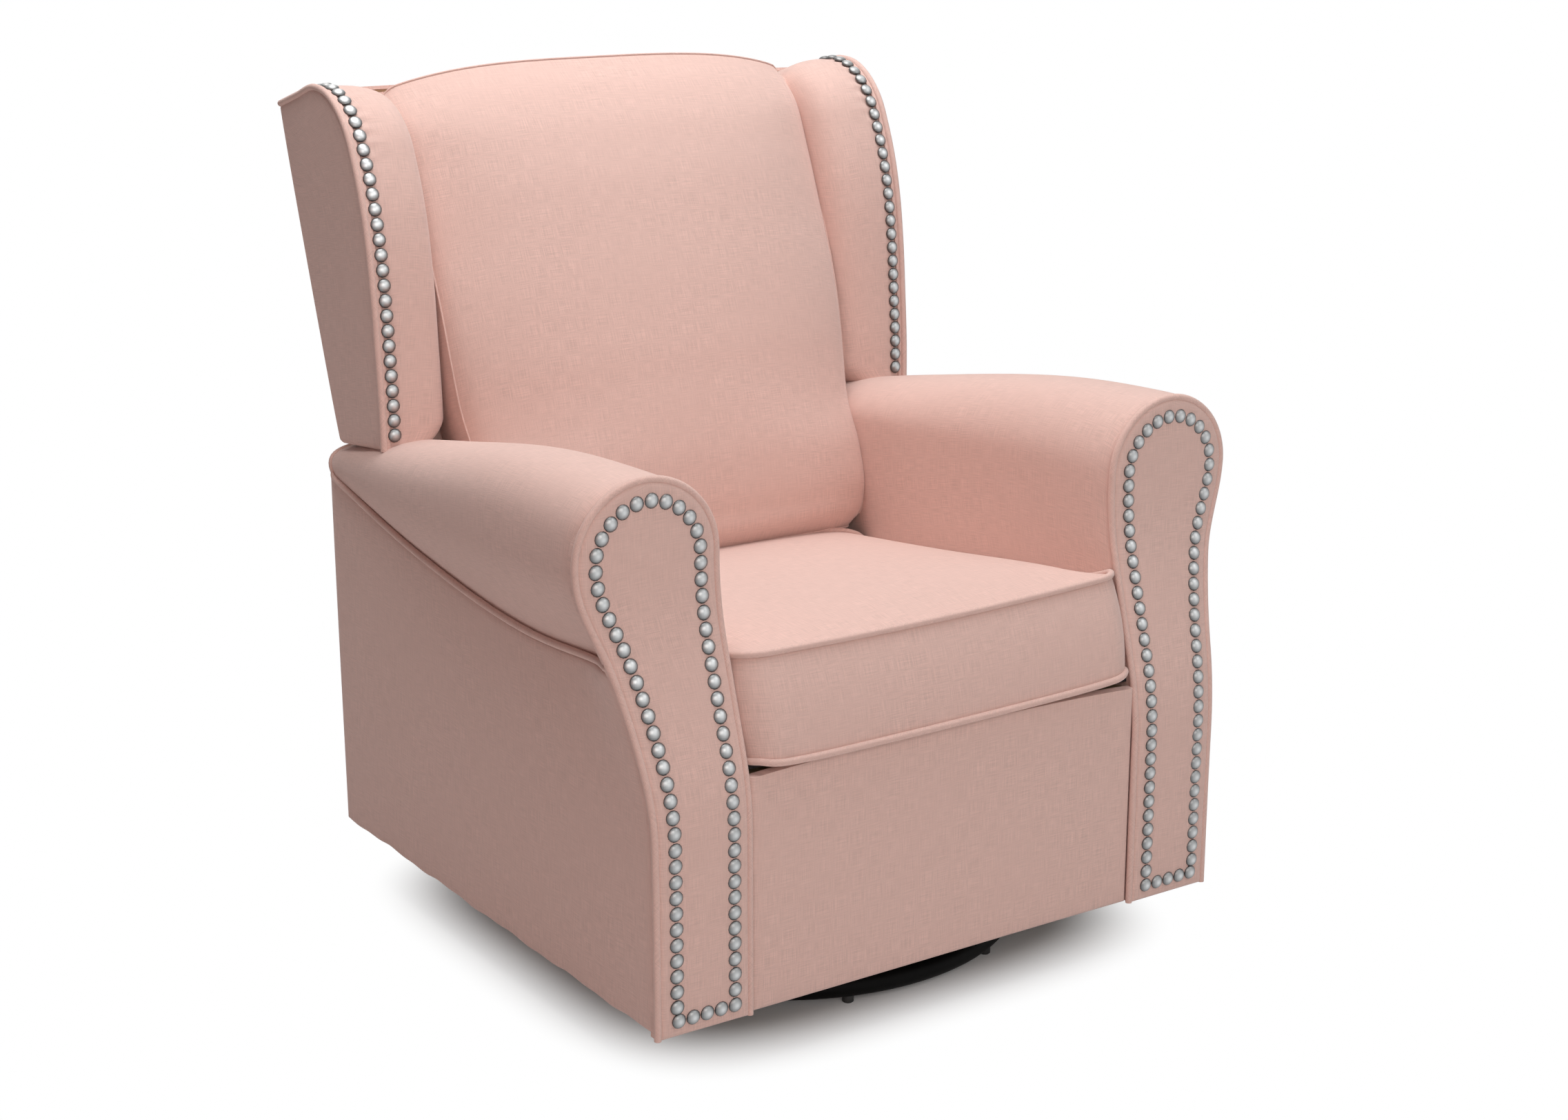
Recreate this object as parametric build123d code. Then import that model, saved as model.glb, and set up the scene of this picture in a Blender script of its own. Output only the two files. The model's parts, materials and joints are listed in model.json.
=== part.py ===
"""Upholstered swivel glider chair: wing back, rolled arms, hanging-link glide and a ring base.

Millimetres. +Z is up, the sitter faces -Y, and the origin is on the floor under the middle of the
chair's overall box. Left and right are as seen from the front. Depths are measured rearwards from the
plane of the arm fronts, heights from the floor.
"""

import os
from math import atan2, cos, degrees, radians, sin, tan

from build123d import *

# Overall sizes
hem_height = 60.0
arm_inner_half = 255.0
arm_width = 111.0
soft_gap = 1.0
panel_thickness = 12.0

# Arm fronts: a keyhole outline on a face that steps back under the roll
front_thickness = 18.0
lean_start_height = 300.0
lean_end_height = 488.0
lean_setback = 55.0
lean_bend_radius = 300.0
roll_centre_inset = 83.0
roll_radius = 80.0
arm_front_top = 622.0
neck_height = 318.0
neck_drop = 40.0
neck_lift = 8.0
neck_share = 0.42

# Arm rolls, from the front to the rear end: the heights of the top, the lower seam and the outermost
# line as shares of the front's height, and the width there as a share of the arm's
arm_length = 721.0
ledge_drop = 6.0
roll_stations = (0.0, 0.34, 0.68, 1.0)
roll_top_shares = (1.0, 0.976, 0.908, 0.839)
roll_seam_shares = (0.714, 0.686, 0.725, 0.799)
roll_side_shares = (0.871, 0.852, 0.820, 0.8135)
roll_width_shares = (1.468, 1.387, 1.225, 1.027)
roll_under_share = 0.62
arm_pad_thickness = 30.0
arm_pad_lift = 4.0

# Seat
seat_cushion_length = 452.0
seat_cushion_thickness = 116.0
seat_front_lean = 7.0
seat_crown = 16.0
seat_edge_crown = 5.0
seat_edge_drop = 8.0
seat_side_draw = 5.0
apron_depth = 2.0
apron_drop = 6.0
seat_rest_gap = 0.3

# Back
back_rake = 18.3
back_foot_depth = 700.0
back_foot_height = 548.0
cushion_low = 306.0
cushion_top_drop = 20.0
outside_back_thickness = 6.0
rail_thickness = 18.0
top_rail_height = 60.0
lower_rail_rise = 6.0
lower_rail_height = 60.0
post_thickness = 22.0
post_width = 30.0
post_inset = 13.0
web_thickness = 2.0
web_width = 50.0
web_count = 5
web_low_drop = 120.0
web_top_drop = 20.0
bracket_thickness = 3.0
bracket_rise = 15.0
bracket_reach = 40.0
cushion_edge = 150.0
cushion_crown = 30.0
cushion_overlap = 14.0
# Back cushion from its foot to its top edge: shares of the full thickness and of the full crown
cushion_stations = (0.0, 0.25, 0.5, 0.75, 0.9, 1.0)
cushion_thicks = (0.94, 1.0, 1.0, 0.97, 0.82, 0.45)
cushion_crowns = (0.35, 0.78, 1.0, 0.86, 0.6, 0.3)
cushion_side_ease = 5.0
side_swell = 3.0

# Wings: side outline from the lower front corner, round the front edge, to the rear top corner
wing_front_depth = 583.0
wing_bottom_height = 552.0
wing_bow_height = 660.0
wing_shoulder_setback = 36.0
wing_shoulder_drop = 102.0
wing_crest_run = 97.0
wing_crest_height = 946.0
wing_top_fall = 26.0
wing_inset = 20.0
wing_edge_radius = 26.0
wing_panel_thickness = 10.0

# Wooden seat frame
board_thickness = 18.0
rail_width = 25.0
frame_bottom = 140.0
front_rail_top = 312.0
rear_rail_depth = 548.0
rear_rail_top = 245.0
side_rail_top = 230.0
side_rail_inner_half = 172.0
block_size = 55.0
block_height = 50.0
spacer_width = 60.0
spacer_height = 40.0
spacer_inset = 40.0
board_rise = 4.0

# Seat springs and deck
wire_size = 3.8
spring_count = 5
spring_pitch_x = 80.0
spring_half_width = 22.0
spring_turns = 9
clip_length = 18.0
clip_width = 52.0
clip_thickness = 2.0
deck_thickness = 8.0

# Swivel base
ring_depth = 325.0
ring_radius = 264.0
ring_tube = 25.0
foot_radius = 6.5
foot_height = 7.0
foot_count = 8
first_foot_angle = -108.0
spider_width = 44.0
spider_thickness = 5.0
spider_saddle = 1.5
plate_radius = 105.0
plate_thickness = 4.0
slip_inner_radius = 72.0
slip_outer_radius = 96.0
slip_thickness = 5.0
kingpin_radius = 10.0
kingpin_head = 6.0
kingpin_stub = 2.0
bush_wall = 4.0
running_clearance = 0.05
nut_width = 30.0
nut_height = 10.0
washer_radius = 20.0
washer_thickness = 3.0

# Glide mechanism
beam_spread = 75.0
beam_width = 40.0
beam_height = 36.0
beam_wall = 3.0
side_plate_half = 150.0
side_plate_thickness = 4.0
pivot_spread = 110.0
upper_pivot_height = 205.0
link_length = 120.0
link_width = 30.0
link_thickness = 6.0
link_gap = 4.0
pivot_radius = 6.0
bush_radius = 9.0
pivot_head_radius = 9.5
pivot_head = 4.0
tie_radius = 8.0
tie_drop = 60.0
hanger_thickness = 4.0
hanger_shoulder = 12.0
hanger_top_drop = 8.0
ear_margin = 3.0
stop_gap = 0.6
stop_length = 10.0
stop_width = 16.0
stop_height = 22.0
lightening_radius = 15.0
lightening_pitch = 40.0
slot_gap = 3.0
glide_swing = 25.0
bolt_radius = 4.0
bolt_head_radius = 7.5
bolt_head = 3.4
bolt_reach = 14.0

arm_outer_half = arm_inner_half + arm_width
arm_rear_depth = arm_length + panel_thickness
roll_centre_x = arm_inner_half + roll_centre_inset
roll_tops = [arm_front_top * share for share in roll_top_shares]
roll_seams = [arm_front_top * share for share in roll_seam_shares]
roll_sides = [arm_front_top * share for share in roll_side_shares]
roll_outers = [arm_inner_half + arm_width * share for share in roll_width_shares]
post_outer_half = arm_inner_half - post_inset
cushion_half_width = arm_inner_half + cushion_overlap
cushion_high = wing_crest_height - cushion_top_drop
wing_inner_half = arm_inner_half + wing_inset
wing_rear_top_height = wing_crest_height - wing_top_fall
total_depth = back_foot_depth + (wing_rear_top_height - back_foot_height) * tan(radians(back_rake))
front_y = -total_depth / 2
wing_crest_depth = total_depth - wing_crest_run
behind_everything = 2 * total_depth
ring_top = foot_height + ring_tube


def depth(d):
    """Row Y of a point that lies d behind the arm fronts."""
    return front_y + d


def box(x0, x1, d0, d1, z0, z1):
    """Block between two X values, two depths and two heights."""
    return Pos((x0 + x1) / 2, depth((d0 + d1) / 2), (z0 + z1) / 2) * Box(x1 - x0, d1 - d0, z1 - z0)


def side_extrude(face_points, x0, x1):
    """Extrude a (depth, height) outline along X from x0 to x1."""
    outline = make_face(Polyline(*[(depth(d), z) for d, z in face_points], close=True))
    return extrude(Plane.YZ.offset(x0) * outline, x1 - x0)


def mirrored(shape):
    """The same piece on the chair's other side."""
    return mirror(shape, about=Plane.YZ)


def disc(radius, z0, z1, bore=0.0):
    """Round plate on the swivel axis, with a bore."""
    plate = Pos(0, depth(ring_depth), (z0 + z1) / 2) * Cylinder(radius, z1 - z0)
    if bore:
        plate -= Pos(0, depth(ring_depth), (z0 + z1) / 2) * Cylinder(bore, z1 - z0 + 2)
    return plate


def rod_x(x0, x1, d, z, radius):
    """Round bar along X."""
    return Pos((x0 + x1) / 2, depth(d), z) * Rot(0, 90, 0) * Cylinder(radius, x1 - x0)


def front_region(start):
    """Everything behind the arm-front face, starting at the given depth behind that face."""
    low = lean_start_height
    high = lean_end_height
    top = 2 * arm_front_top
    points = [(start, -top), (start, low), (start + lean_setback, high), (start + lean_setback, top)]
    face_line = FilletPolyline(*points, radius=lean_bend_radius)
    back = Polyline(points[-1], (behind_everything, top), (behind_everything, -top), points[0])
    region = make_face(face_line + back)
    return Pos(0, front_y, 0) * extrude(Plane.YZ * region, 2 * roll_outers[0], both=True)


front_rail_depth = front_thickness
rail_fall = (front_rail_top - rear_rail_top) / (rear_rail_depth - front_rail_depth)
seat_pitch = degrees(atan2(rail_fall, 1))


def rail_top_at(d):
    """Height of the pitched line from the front rail's top to the rear rail's top."""
    return front_rail_top - rail_fall * (d - front_rail_depth)


deck_rise = clip_thickness + 2 * seat_rest_gap + wire_size
seat_front_height = rail_top_at(apron_depth) + deck_rise + deck_thickness + seat_rest_gap
# The seat's own frame: Y runs rearwards along the deck, Z stands on it
seat_place = Location((0, depth(apron_depth), seat_front_height), (-seat_pitch, 0, 0))
# The back's own frame: Z runs up its rear face, -Y points to the sitter
back_place = Location((0, depth(back_foot_depth), back_foot_height), (-back_rake, 0, 0))
rake_cos = cos(radians(back_rake))
rake_tan = tan(radians(back_rake))


def rear_depth(z):
    """Depth of the back's rear face at a height."""
    return back_foot_depth + (z - back_foot_height) * rake_tan


def up_back(z):
    """Distance along the back's rear face from its foot to a height."""
    return (z - back_foot_height) / rake_cos


def back_box(x0, x1, v0, v1, z0, z1):
    """Block in the back's frame: v is the distance in front of the rear face."""
    u0, u1 = up_back(z0), up_back(z1)
    block = Pos((x0 + x1) / 2, -(v0 + v1) / 2, (u0 + u1) / 2) * Box(x1 - x0, v1 - v0, u1 - u0)
    return back_place * block


def pillow_section(plane, half, low, high, crown, swell):
    """Cushion section: flat base, swelled sides and a crowned face."""
    base = Line((-half, low), (half, low))
    right = ThreePointArc((half, low), (half + swell, (low + high) / 2), (half, high))
    face = ThreePointArc((half, high), (0, high + crown), (-half, high))
    left = ThreePointArc((-half, high), (-half - swell, (low + high) / 2), (-half, low))
    return plane * make_face(base + right + face + left)


# Base

def base_ring():
    return Pos(0, depth(ring_depth), foot_height + ring_tube / 2) * Torus(ring_radius, ring_tube / 2)


def base_feet(ring):
    feet = []
    for place in PolarLocations(ring_radius, foot_count, start_angle=first_foot_angle):
        stem = Pos(0, depth(ring_depth), 0) * place * Cylinder(
            foot_radius, foot_height + ring_tube / 4, align=(Align.CENTER, Align.CENTER, Align.MIN))
        feet.append(chamfer(stem.edges().sort_by(Axis.Z)[0], foot_radius / 5) - ring)
    return Compound(children=feet)


def base_spider(ring):
    low = ring_top - spider_saddle
    bars = []
    for angle in (45, 135):
        bar = Pos(0, 0, low + spider_thickness / 2) * Rot(0, 0, angle) * Box(
            2 * ring_radius, spider_width, spider_thickness)
        bars.append(Pos(0, depth(ring_depth), 0) * bar)
    hub = disc(plate_radius, low, low + spider_thickness)
    bore = disc(kingpin_radius, low - 1, low + spider_thickness + 1)
    return bars[0] + bars[1] + hub - bore - ring


spider_top = ring_top - spider_saddle + spider_thickness
lower_plate_top = spider_top + plate_thickness
slip_top = lower_plate_top + slip_thickness
upper_plate_low = slip_top + running_clearance
upper_plate_top = upper_plate_low + plate_thickness
kingpin_bore = kingpin_radius + running_clearance
washer_low = upper_plate_top + running_clearance
nut_low = washer_low + washer_thickness


def kingpin():
    low = spider_top - spider_thickness
    shank = disc(kingpin_radius, low, nut_low + nut_height + kingpin_stub)
    head = RegularPolygon(nut_width / 2, 6)
    head = extrude(Pos(0, depth(ring_depth), low - kingpin_head) * head, kingpin_head)
    return shank + head


def kingpin_nut():
    body = extrude(Pos(0, depth(ring_depth), nut_low) * RegularPolygon(nut_width / 2, 6), nut_height)
    return body - disc(kingpin_radius, nut_low - 1, nut_low + nut_height + 1)


# Carriage that turns on the base

def carriage_beam(d):
    low = upper_plate_top
    half = beam_width / 2
    outer = box(-side_plate_half, side_plate_half, d - half, d + half, low, low + beam_height)
    inside = box(-side_plate_half, side_plate_half, d - half + beam_wall, d + half - beam_wall,
                 low + beam_wall, low + beam_height + 1)
    return outer - inside


def tie_slot(d):
    """Curved slot about an upper pivot, in which a tie bar swings."""
    reach = radians(glide_swing) + (tie_radius + slot_gap) / tie_drop
    ends = []
    for angle in (-reach, 0, reach):
        ends.append((depth(d) + tie_drop * sin(angle), upper_pivot_height - tie_drop * cos(angle)))
    slot = SlotArc(ThreePointArc(*ends), 2 * (tie_radius + slot_gap))
    return extrude(Plane.YZ.offset(side_plate_half - 1) * slot, side_plate_thickness + 2)


def carriage_side():
    """Upright plate with two upper pivots, tie-bar slots and lightening holes."""
    end = pivot_spread + tie_drop
    low = upper_plate_top
    waist = low + beam_height
    top = upper_pivot_height + link_width / 2
    foot = beam_spread + beam_width
    points = [(-end, waist), (-foot, low), (foot, low), (end, waist), (end, top), (-end, top)]
    face = make_face(Polyline(*[(depth(ring_depth + d), z) for d, z in points], close=True))
    face = fillet(face.vertices().sort_by(Axis.Y)[-2:], link_width / 2)
    plate = extrude(Plane.YZ.offset(side_plate_half) * face, side_plate_thickness)
    through = (side_plate_half - 1, side_plate_half + side_plate_thickness + 1)
    for step in (-1, 0, 1):
        plate -= rod_x(*through, ring_depth + step * lightening_pitch, (waist + top) / 2, lightening_radius)
    for d in (ring_depth - pivot_spread, ring_depth + pivot_spread):
        plate -= rod_x(*through, d, upper_pivot_height, pivot_radius)
        plate -= tie_slot(d)
    return plate


link_low_x = side_plate_half + side_plate_thickness + link_gap
link_high_x = link_low_x + link_thickness
lower_pivot_height = upper_pivot_height - link_length
hanger_low_x = link_high_x + link_gap


def upper_pivots():
    """Shoulder pins through the side plates, headed inside, that carry the links."""
    inside = side_plate_half - pivot_head
    pins = []
    for d in (ring_depth - pivot_spread, ring_depth + pivot_spread):
        pin = rod_x(inside, link_high_x + link_gap / 2, d, upper_pivot_height, pivot_radius)
        pin += rod_x(inside, side_plate_half, d, upper_pivot_height, pivot_head_radius)
        pins += [pin, mirrored(pin)]
    return Compound(children=pins)


def lower_pivots():
    """Shoulder pins through the hangers, headed outside, that the links carry."""
    outside = hanger_low_x + hanger_thickness
    pins = []
    for d in (ring_depth - pivot_spread, ring_depth + pivot_spread):
        pin = rod_x(link_low_x - link_gap / 2, outside + pivot_head, d, lower_pivot_height, pivot_radius)
        pin += rod_x(outside, outside + pivot_head, d, lower_pivot_height, pivot_head_radius)
        pins += [pin, mirrored(pin)]
    return Compound(children=pins)


def glide_stops():
    """Rubber buffers inside the side plates that the tie bars reach at each end of the glide."""
    swing = radians(glide_swing)
    reach = tie_drop * sin(swing) + tie_radius + stop_gap
    height = upper_pivot_height - tie_drop * cos(swing)
    stops = []
    for d in (ring_depth - pivot_spread, ring_depth + pivot_spread):
        for near, far in ((d + reach, d + reach + stop_length), (d - reach - stop_length, d - reach)):
            stop = box(side_plate_half - stop_width, side_plate_half, near, far,
                       height - stop_height / 2, height + stop_height / 2)
            stop = chamfer(stop.faces().sort_by(Axis.X)[0].edges(), stop_length / 5)
            stops += [stop, mirrored(stop)]
    return Compound(children=stops)


def link(d):
    """Flat hanging link with a bush seat at each end."""
    bar = SlotCenterToCenter(link_length, link_width, 90)
    middle = (upper_pivot_height + lower_pivot_height) / 2
    plate = extrude(Plane.YZ.offset(link_low_x) * Pos(depth(d), middle) * bar, link_thickness)
    for z in (upper_pivot_height, lower_pivot_height):
        plate -= rod_x(link_low_x - 1, link_high_x + 1, d, z, bush_radius)
    return plate


def link_bushes(d):
    """Flangeless bushes in both ends of a pair of links."""
    bushes = []
    for z in (upper_pivot_height, lower_pivot_height):
        bush = rod_x(link_low_x - 1, link_high_x + 1, d, z, bush_radius)
        bush -= rod_x(link_low_x - 2, link_high_x + 2, d, z, pivot_radius + running_clearance)
        bushes += [bush, mirrored(bush)]
    return Compound(children=bushes)


# Wooden seat frame and hangers

def hanger():
    """Steel plate on the inside of a wooden side rail, with two ears down to the lower pivots."""
    ear = link_width / 2 + ear_margin
    front = ring_depth - pivot_spread
    rear = ring_depth + pivot_spread
    bottom = lower_pivot_height - ear
    shoulder = frame_bottom + hanger_shoulder
    top = side_rail_top - hanger_top_drop
    outline = [(front - ear, bottom), (front + ear, bottom), (front + 2 * ear, shoulder)]
    outline += [(rear - 2 * ear, shoulder), (rear - ear, bottom), (rear + ear, bottom)]
    outline += [(rear + ear, top), (front - ear, top)]
    plate = side_extrude(outline, hanger_low_x, hanger_low_x + hanger_thickness)
    through = (hanger_low_x - 1, hanger_low_x + hanger_thickness + 1)
    for d in (front, rear):
        plate -= rod_x(*through, d, lower_pivot_height, pivot_radius)
    for d, z in hanger_bolt_places():
        plate -= rod_x(*through, d, z, bolt_radius)
    return plate


def hanger_bolt_places():
    places = []
    for d in (-pivot_spread, -pivot_spread / 3, pivot_spread / 3, pivot_spread):
        places.append((ring_depth + d, frame_bottom + hanger_shoulder + 2 * bolt_head_radius))
    return places


def hanger_bolts():
    bolts = []
    for d, z in hanger_bolt_places():
        bolt = rod_x(hanger_low_x - bolt_head, hanger_low_x, d, z, bolt_head_radius)
        bolt += rod_x(hanger_low_x, side_rail_inner_half + bolt_reach, d, z, bolt_radius)
        bolts += [bolt, mirrored(bolt)]
    return Compound(children=bolts)


def side_rail():
    rail = box(side_rail_inner_half, side_rail_inner_half + rail_width, front_rail_depth + rail_width,
               rear_rail_depth, frame_bottom, side_rail_top)
    for d, z in hanger_bolt_places():
        rail -= rod_x(side_rail_inner_half - 1, side_rail_inner_half + bolt_reach, d, z, bolt_radius)
    return rail


board_inner = arm_inner_half + arm_pad_thickness
board_outer = board_inner + board_thickness


def cross_rail(d):
    """Wooden rail across the seat, whose top is planed to the deck's pitch."""
    points = [(d, frame_bottom), (d + rail_width, frame_bottom)]
    points += [(d + rail_width, rail_top_at(d + rail_width)), (d, rail_top_at(d))]
    return side_extrude(points, -board_inner, board_inner)


def corner_blocks():
    blocks = []
    inner = side_rail_inner_half + rail_width
    for d, way in ((front_rail_depth + rail_width, 1), (rear_rail_depth, -1)):
        side_points = [(inner, d), (inner + block_size, d), (inner, d + way * block_size)]
        face = make_face(Polyline(*[(x, depth(y)) for x, y in side_points], close=True))
        wedge = extrude(Pos(0, 0, frame_bottom) * face, block_height, dir=(0, 0, 1))
        blocks += [wedge, mirrored(wedge)]
    return Compound(children=blocks)


def spring_rows():
    return [spring_pitch_x * (i - (spring_count - 1) / 2) for i in range(spring_count)]


front_hook = front_rail_depth + rail_width / 2
rear_hook = rear_rail_depth + rail_width / 2


def seat_springs():
    """Flat zigzag wire springs from rail to rail, of straight rungs joined by half-round bends."""
    run = rear_hook - front_hook
    fall = rail_fall * run
    slope = (run ** 2 + fall ** 2) ** 0.5
    seat = clip_thickness + seat_rest_gap + wire_size / 2
    place = Plane(origin=(0, depth(front_hook), rail_top_at(front_hook) + seat),
                  x_dir=(0, run, -fall), z_dir=(0, fall, run))
    step = slope / (2 * spring_turns)
    bend = step / 2
    rung = spring_half_width - bend
    path = Line((0, 0), (0, rung))
    for i in range(2 * spring_turns):
        side = 1 if i % 2 == 0 else -1
        x = i * step
        path += ThreePointArc((x, side * rung), (x + bend, side * (rung + bend)), (x + step, side * rung))
        last = 0 if i == 2 * spring_turns - 1 else -side * rung
        path += Line((x + step, side * rung), (x + step, last))
    start = Plane(origin=(0, 0, 0), x_dir=(1, 0, 0), z_dir=(0, 1, 0))
    wire = sweep(start * Rectangle(wire_size, wire_size), path=path)
    return Compound(children=[Pos(x, 0, 0) * place.location * wire for x in spring_rows()])


def spring_clips():
    """Folded plates on the rails that hold the spring ends."""
    clips = []
    half = clip_width / 2
    for hook in (front_hook, rear_hook):
        low = rail_top_at(hook)
        points = [(hook - clip_length / 2, low + rail_fall * clip_length / 2)]
        points.append((hook + clip_length / 2, low - rail_fall * clip_length / 2))
        points += [(d, z + clip_thickness) for d, z in reversed(points)]
        clips += [side_extrude(points, x - half, x + half) for x in spring_rows()]
    return Compound(children=clips)


def seat_deck():
    """Padded cloth deck that lies on the springs."""
    front = front_rail_depth
    back = rear_rail_depth - post_thickness
    points = [(front, rail_top_at(front) + deck_rise), (back, rail_top_at(back) + deck_rise)]
    points += [(d, z + deck_thickness) for d, z in reversed(points)]
    return side_extrude(points, -arm_inner_half + soft_gap, arm_inner_half - soft_gap)


# Upholstered lower body

def keyhole_face():
    """Arm-front outline: straight inner edge, round roll and a waisted outer edge."""
    inner = arm_inner_half + soft_gap
    outer = arm_outer_half
    radius = roll_radius
    centre_z = arm_front_top - radius
    low = hem_height
    right = roll_centre_x + radius
    left = roll_centre_x - radius
    neck = (outer + (right - outer) * neck_share, (neck_height + centre_z) / 2 + neck_lift)
    waist = neck_height - neck_drop
    edges = Line((inner, low), (outer, low))
    edges += Line((outer, low), (outer, waist))
    edges += Spline((outer, waist), neck, (right, centre_z), tangents=[(0, 1), (0, 1)])
    edges += ThreePointArc((right, centre_z), (roll_centre_x, centre_z + radius), (left, centre_z))
    edges += Spline((left, centre_z), (inner, waist), tangents=[(0, -1), (0, -1)])
    edges += Line((inner, waist), (inner, low))
    return make_face(edges)


def arm_front():
    skin = front_region(0) - front_region(front_thickness)
    length = lean_setback + front_thickness + 2
    outline = extrude(Plane.XZ.offset(1 - front_y) * keyhole_face(), length, dir=(0, 1, 0))
    return outline & skin


def arm_pad(behind):
    """Rolled top and padded inner face of one arm, tapering and falling to the rear."""
    sections = []
    for share, top, seam, outer, side in zip(roll_stations, roll_tops, roll_seams, roll_outers, roll_sides):
        d = arm_length * share
        low = rail_top_at(min(d, rear_rail_depth)) + arm_pad_lift
        ridge = (arm_inner_half + outer) / 2
        inner = arm_inner_half
        under = (arm_outer_half + (outer - arm_outer_half) * roll_under_share, (side + seam) / 2)
        bend = cos(radians(45))
        left_mid = (ridge - (ridge - inner) * bend, side + (top - side) * bend)
        right_mid = (ridge + (outer - ridge) * bend, side + (top - side) * bend)
        # A list keeps the two halves of the roll apart where they lie on one circle
        edges = [Line((inner, low), (inner, side)),
                 ThreePointArc((inner, side), left_mid, (ridge, top)),
                 ThreePointArc((ridge, top), right_mid, (outer, side)),
                 ThreePointArc((outer, side), under, (arm_outer_half, seam)),
                 Line((arm_outer_half, seam), (board_inner, seam)),
                 Line((board_inner, seam), (board_inner, low)),
                 Line((board_inner, low), (inner, low))]
        plane = Plane(origin=(0, depth(d), 0), x_dir=(1, 0, 0), z_dir=(0, -1, 0))
        sections.append(plane * make_face(edges))
    return loft(sections) & behind


def seam_points(drop):
    return [(depth(arm_length * s), seam - drop) for s, seam in zip(roll_stations, roll_seams)]


def seam_panel(x0, x1, d1, low, drop, behind):
    """Board that stands under the arm roll's lower seam and ends at depth d1."""
    rear = depth(arm_rear_depth + 1)
    rear_top = roll_seams[-1] - drop
    top = Spline(*seam_points(drop))
    edges = Line((depth(0), low), top @ 0) + top + Line(top @ 1, (rear, rear_top))
    edges += Line((rear, rear_top), (rear, low)) + Line((rear, low), (depth(0), low))
    board = extrude(Plane.YZ.offset(x0) * make_face(edges), x1 - x0)
    return (board & behind) - box(x0 - 1, x1 + 1, d1, arm_rear_depth + 2, 0, arm_front_top)


def arm_spacers():
    """Blocks that hold the outside panel off the arm board."""
    blocks = []
    for d in (spacer_inset, arm_length / 2, arm_length - spacer_width):
        blocks.append(box(board_outer, arm_outer_half - panel_thickness, d, d + spacer_width,
                          hem_height + spacer_height / 2, hem_height + spacer_height * 1.5))
    return blocks


def front_apron():
    inner = arm_inner_half - soft_gap
    return box(-inner, inner, apron_depth, front_rail_depth, hem_height, seat_front_height - apron_drop)


def lower_back():
    """Outside panel across the rear, with a ledge forward to the back's cover."""
    half = arm_outer_half - panel_thickness
    top = roll_seams[-1] - ledge_drop
    panel = box(-half, half, arm_length + soft_gap, arm_rear_depth, hem_height, top)
    inner = arm_inner_half - soft_gap
    return panel + box(-inner, inner, rear_depth(top) + soft_gap, arm_rear_depth, top - panel_thickness, top)


def seat_cushion():
    half = arm_inner_half - soft_gap - side_swell
    sections = []
    for share in (0, 0.12, 0.5, 0.88, 1.0):
        bulge = 1 - (2 * share - 1) ** 2
        lean = seat_front_lean if share == 0 else 0
        plane = Plane(origin=(0, seat_cushion_length * share, 0), x_dir=(1, 0, 0),
                      z_dir=(0, -cos(radians(lean)), sin(radians(lean))))
        crown = seat_edge_crown + (seat_crown - seat_edge_crown) * bulge
        top = seat_cushion_thickness - seat_edge_drop * (1 - bulge)
        sections.append(pillow_section(plane, half - seat_side_draw * bulge, 0, top, crown, side_swell))
    return seat_place * loft(sections)


# Back and wings

cushion_back = outside_back_thickness + rail_thickness + post_thickness + web_thickness


def back_cushion():
    """Tall pillow: crowned face, drawn-in sides and a rolled top edge."""
    tight = arm_inner_half - cushion_side_ease
    sections = []
    for share, thick, crown in zip(cushion_stations, cushion_thicks, cushion_crowns):
        z = cushion_low + (cushion_high - cushion_low) * share
        half = tight + (cushion_half_width - tight) * share ** 3
        edge = cushion_back + (cushion_edge - cushion_back) * thick
        plane = Plane(origin=(0, 0, up_back(z)), x_dir=(-1, 0, 0), z_dir=(0, 0, 1))
        sections.append(pillow_section(plane, half, cushion_back, edge, cushion_crown * crown, side_swell))
    return back_place * loft(sections)


def wing_outline(rear_offset):
    """Side outline of a wing, with its rear edge set in front of the back's rear face."""
    shift = rear_offset / rake_cos
    fall = (wing_rear_top_height - wing_crest_height) / (rear_depth(wing_rear_top_height) - wing_crest_depth)
    level = rear_depth(wing_crest_height) - shift
    corner_depth = (level - rake_tan * fall * wing_crest_depth) / (1 - rake_tan * fall)
    corner = (corner_depth, wing_crest_height + fall * (corner_depth - wing_crest_depth))
    foot = (rear_depth(wing_bottom_height) - shift, wing_bottom_height)
    front = (wing_front_depth, wing_bow_height)
    crest = (wing_crest_depth, wing_crest_height)
    shoulder = (wing_front_depth + wing_shoulder_setback, wing_crest_height - wing_shoulder_drop)
    start = (wing_front_depth, wing_bottom_height)
    places = [(depth(d), z) for d, z in (start, front, shoulder, crest, corner, foot)]
    edges = Line(places[0], places[1])
    edges += Spline(places[1], places[2], places[3], tangents=[(0, 1), (1, fall)])
    edges += Line(places[3], places[4]) + Line(places[4], places[5]) + Line(places[5], places[0])
    return make_face(edges)


def wing_panel():
    inner = arm_outer_half - wing_panel_thickness
    return extrude(Plane.YZ.offset(inner) * wing_outline(0), wing_panel_thickness)


def wing_pad():
    outer = arm_outer_half - wing_panel_thickness
    outline = wing_outline(outside_back_thickness + rail_thickness)
    pad = extrude(Plane.YZ.offset(wing_inner_half) * outline, outer - wing_inner_half)
    inner_edges = pad.faces().sort_by(Axis.X)[0].edges()
    rounded = inner_edges.sort_by(Axis.Y)[:2] + inner_edges.sort_by(Axis.Z)[-1:]
    return fillet(rounded, wing_edge_radius)


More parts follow.
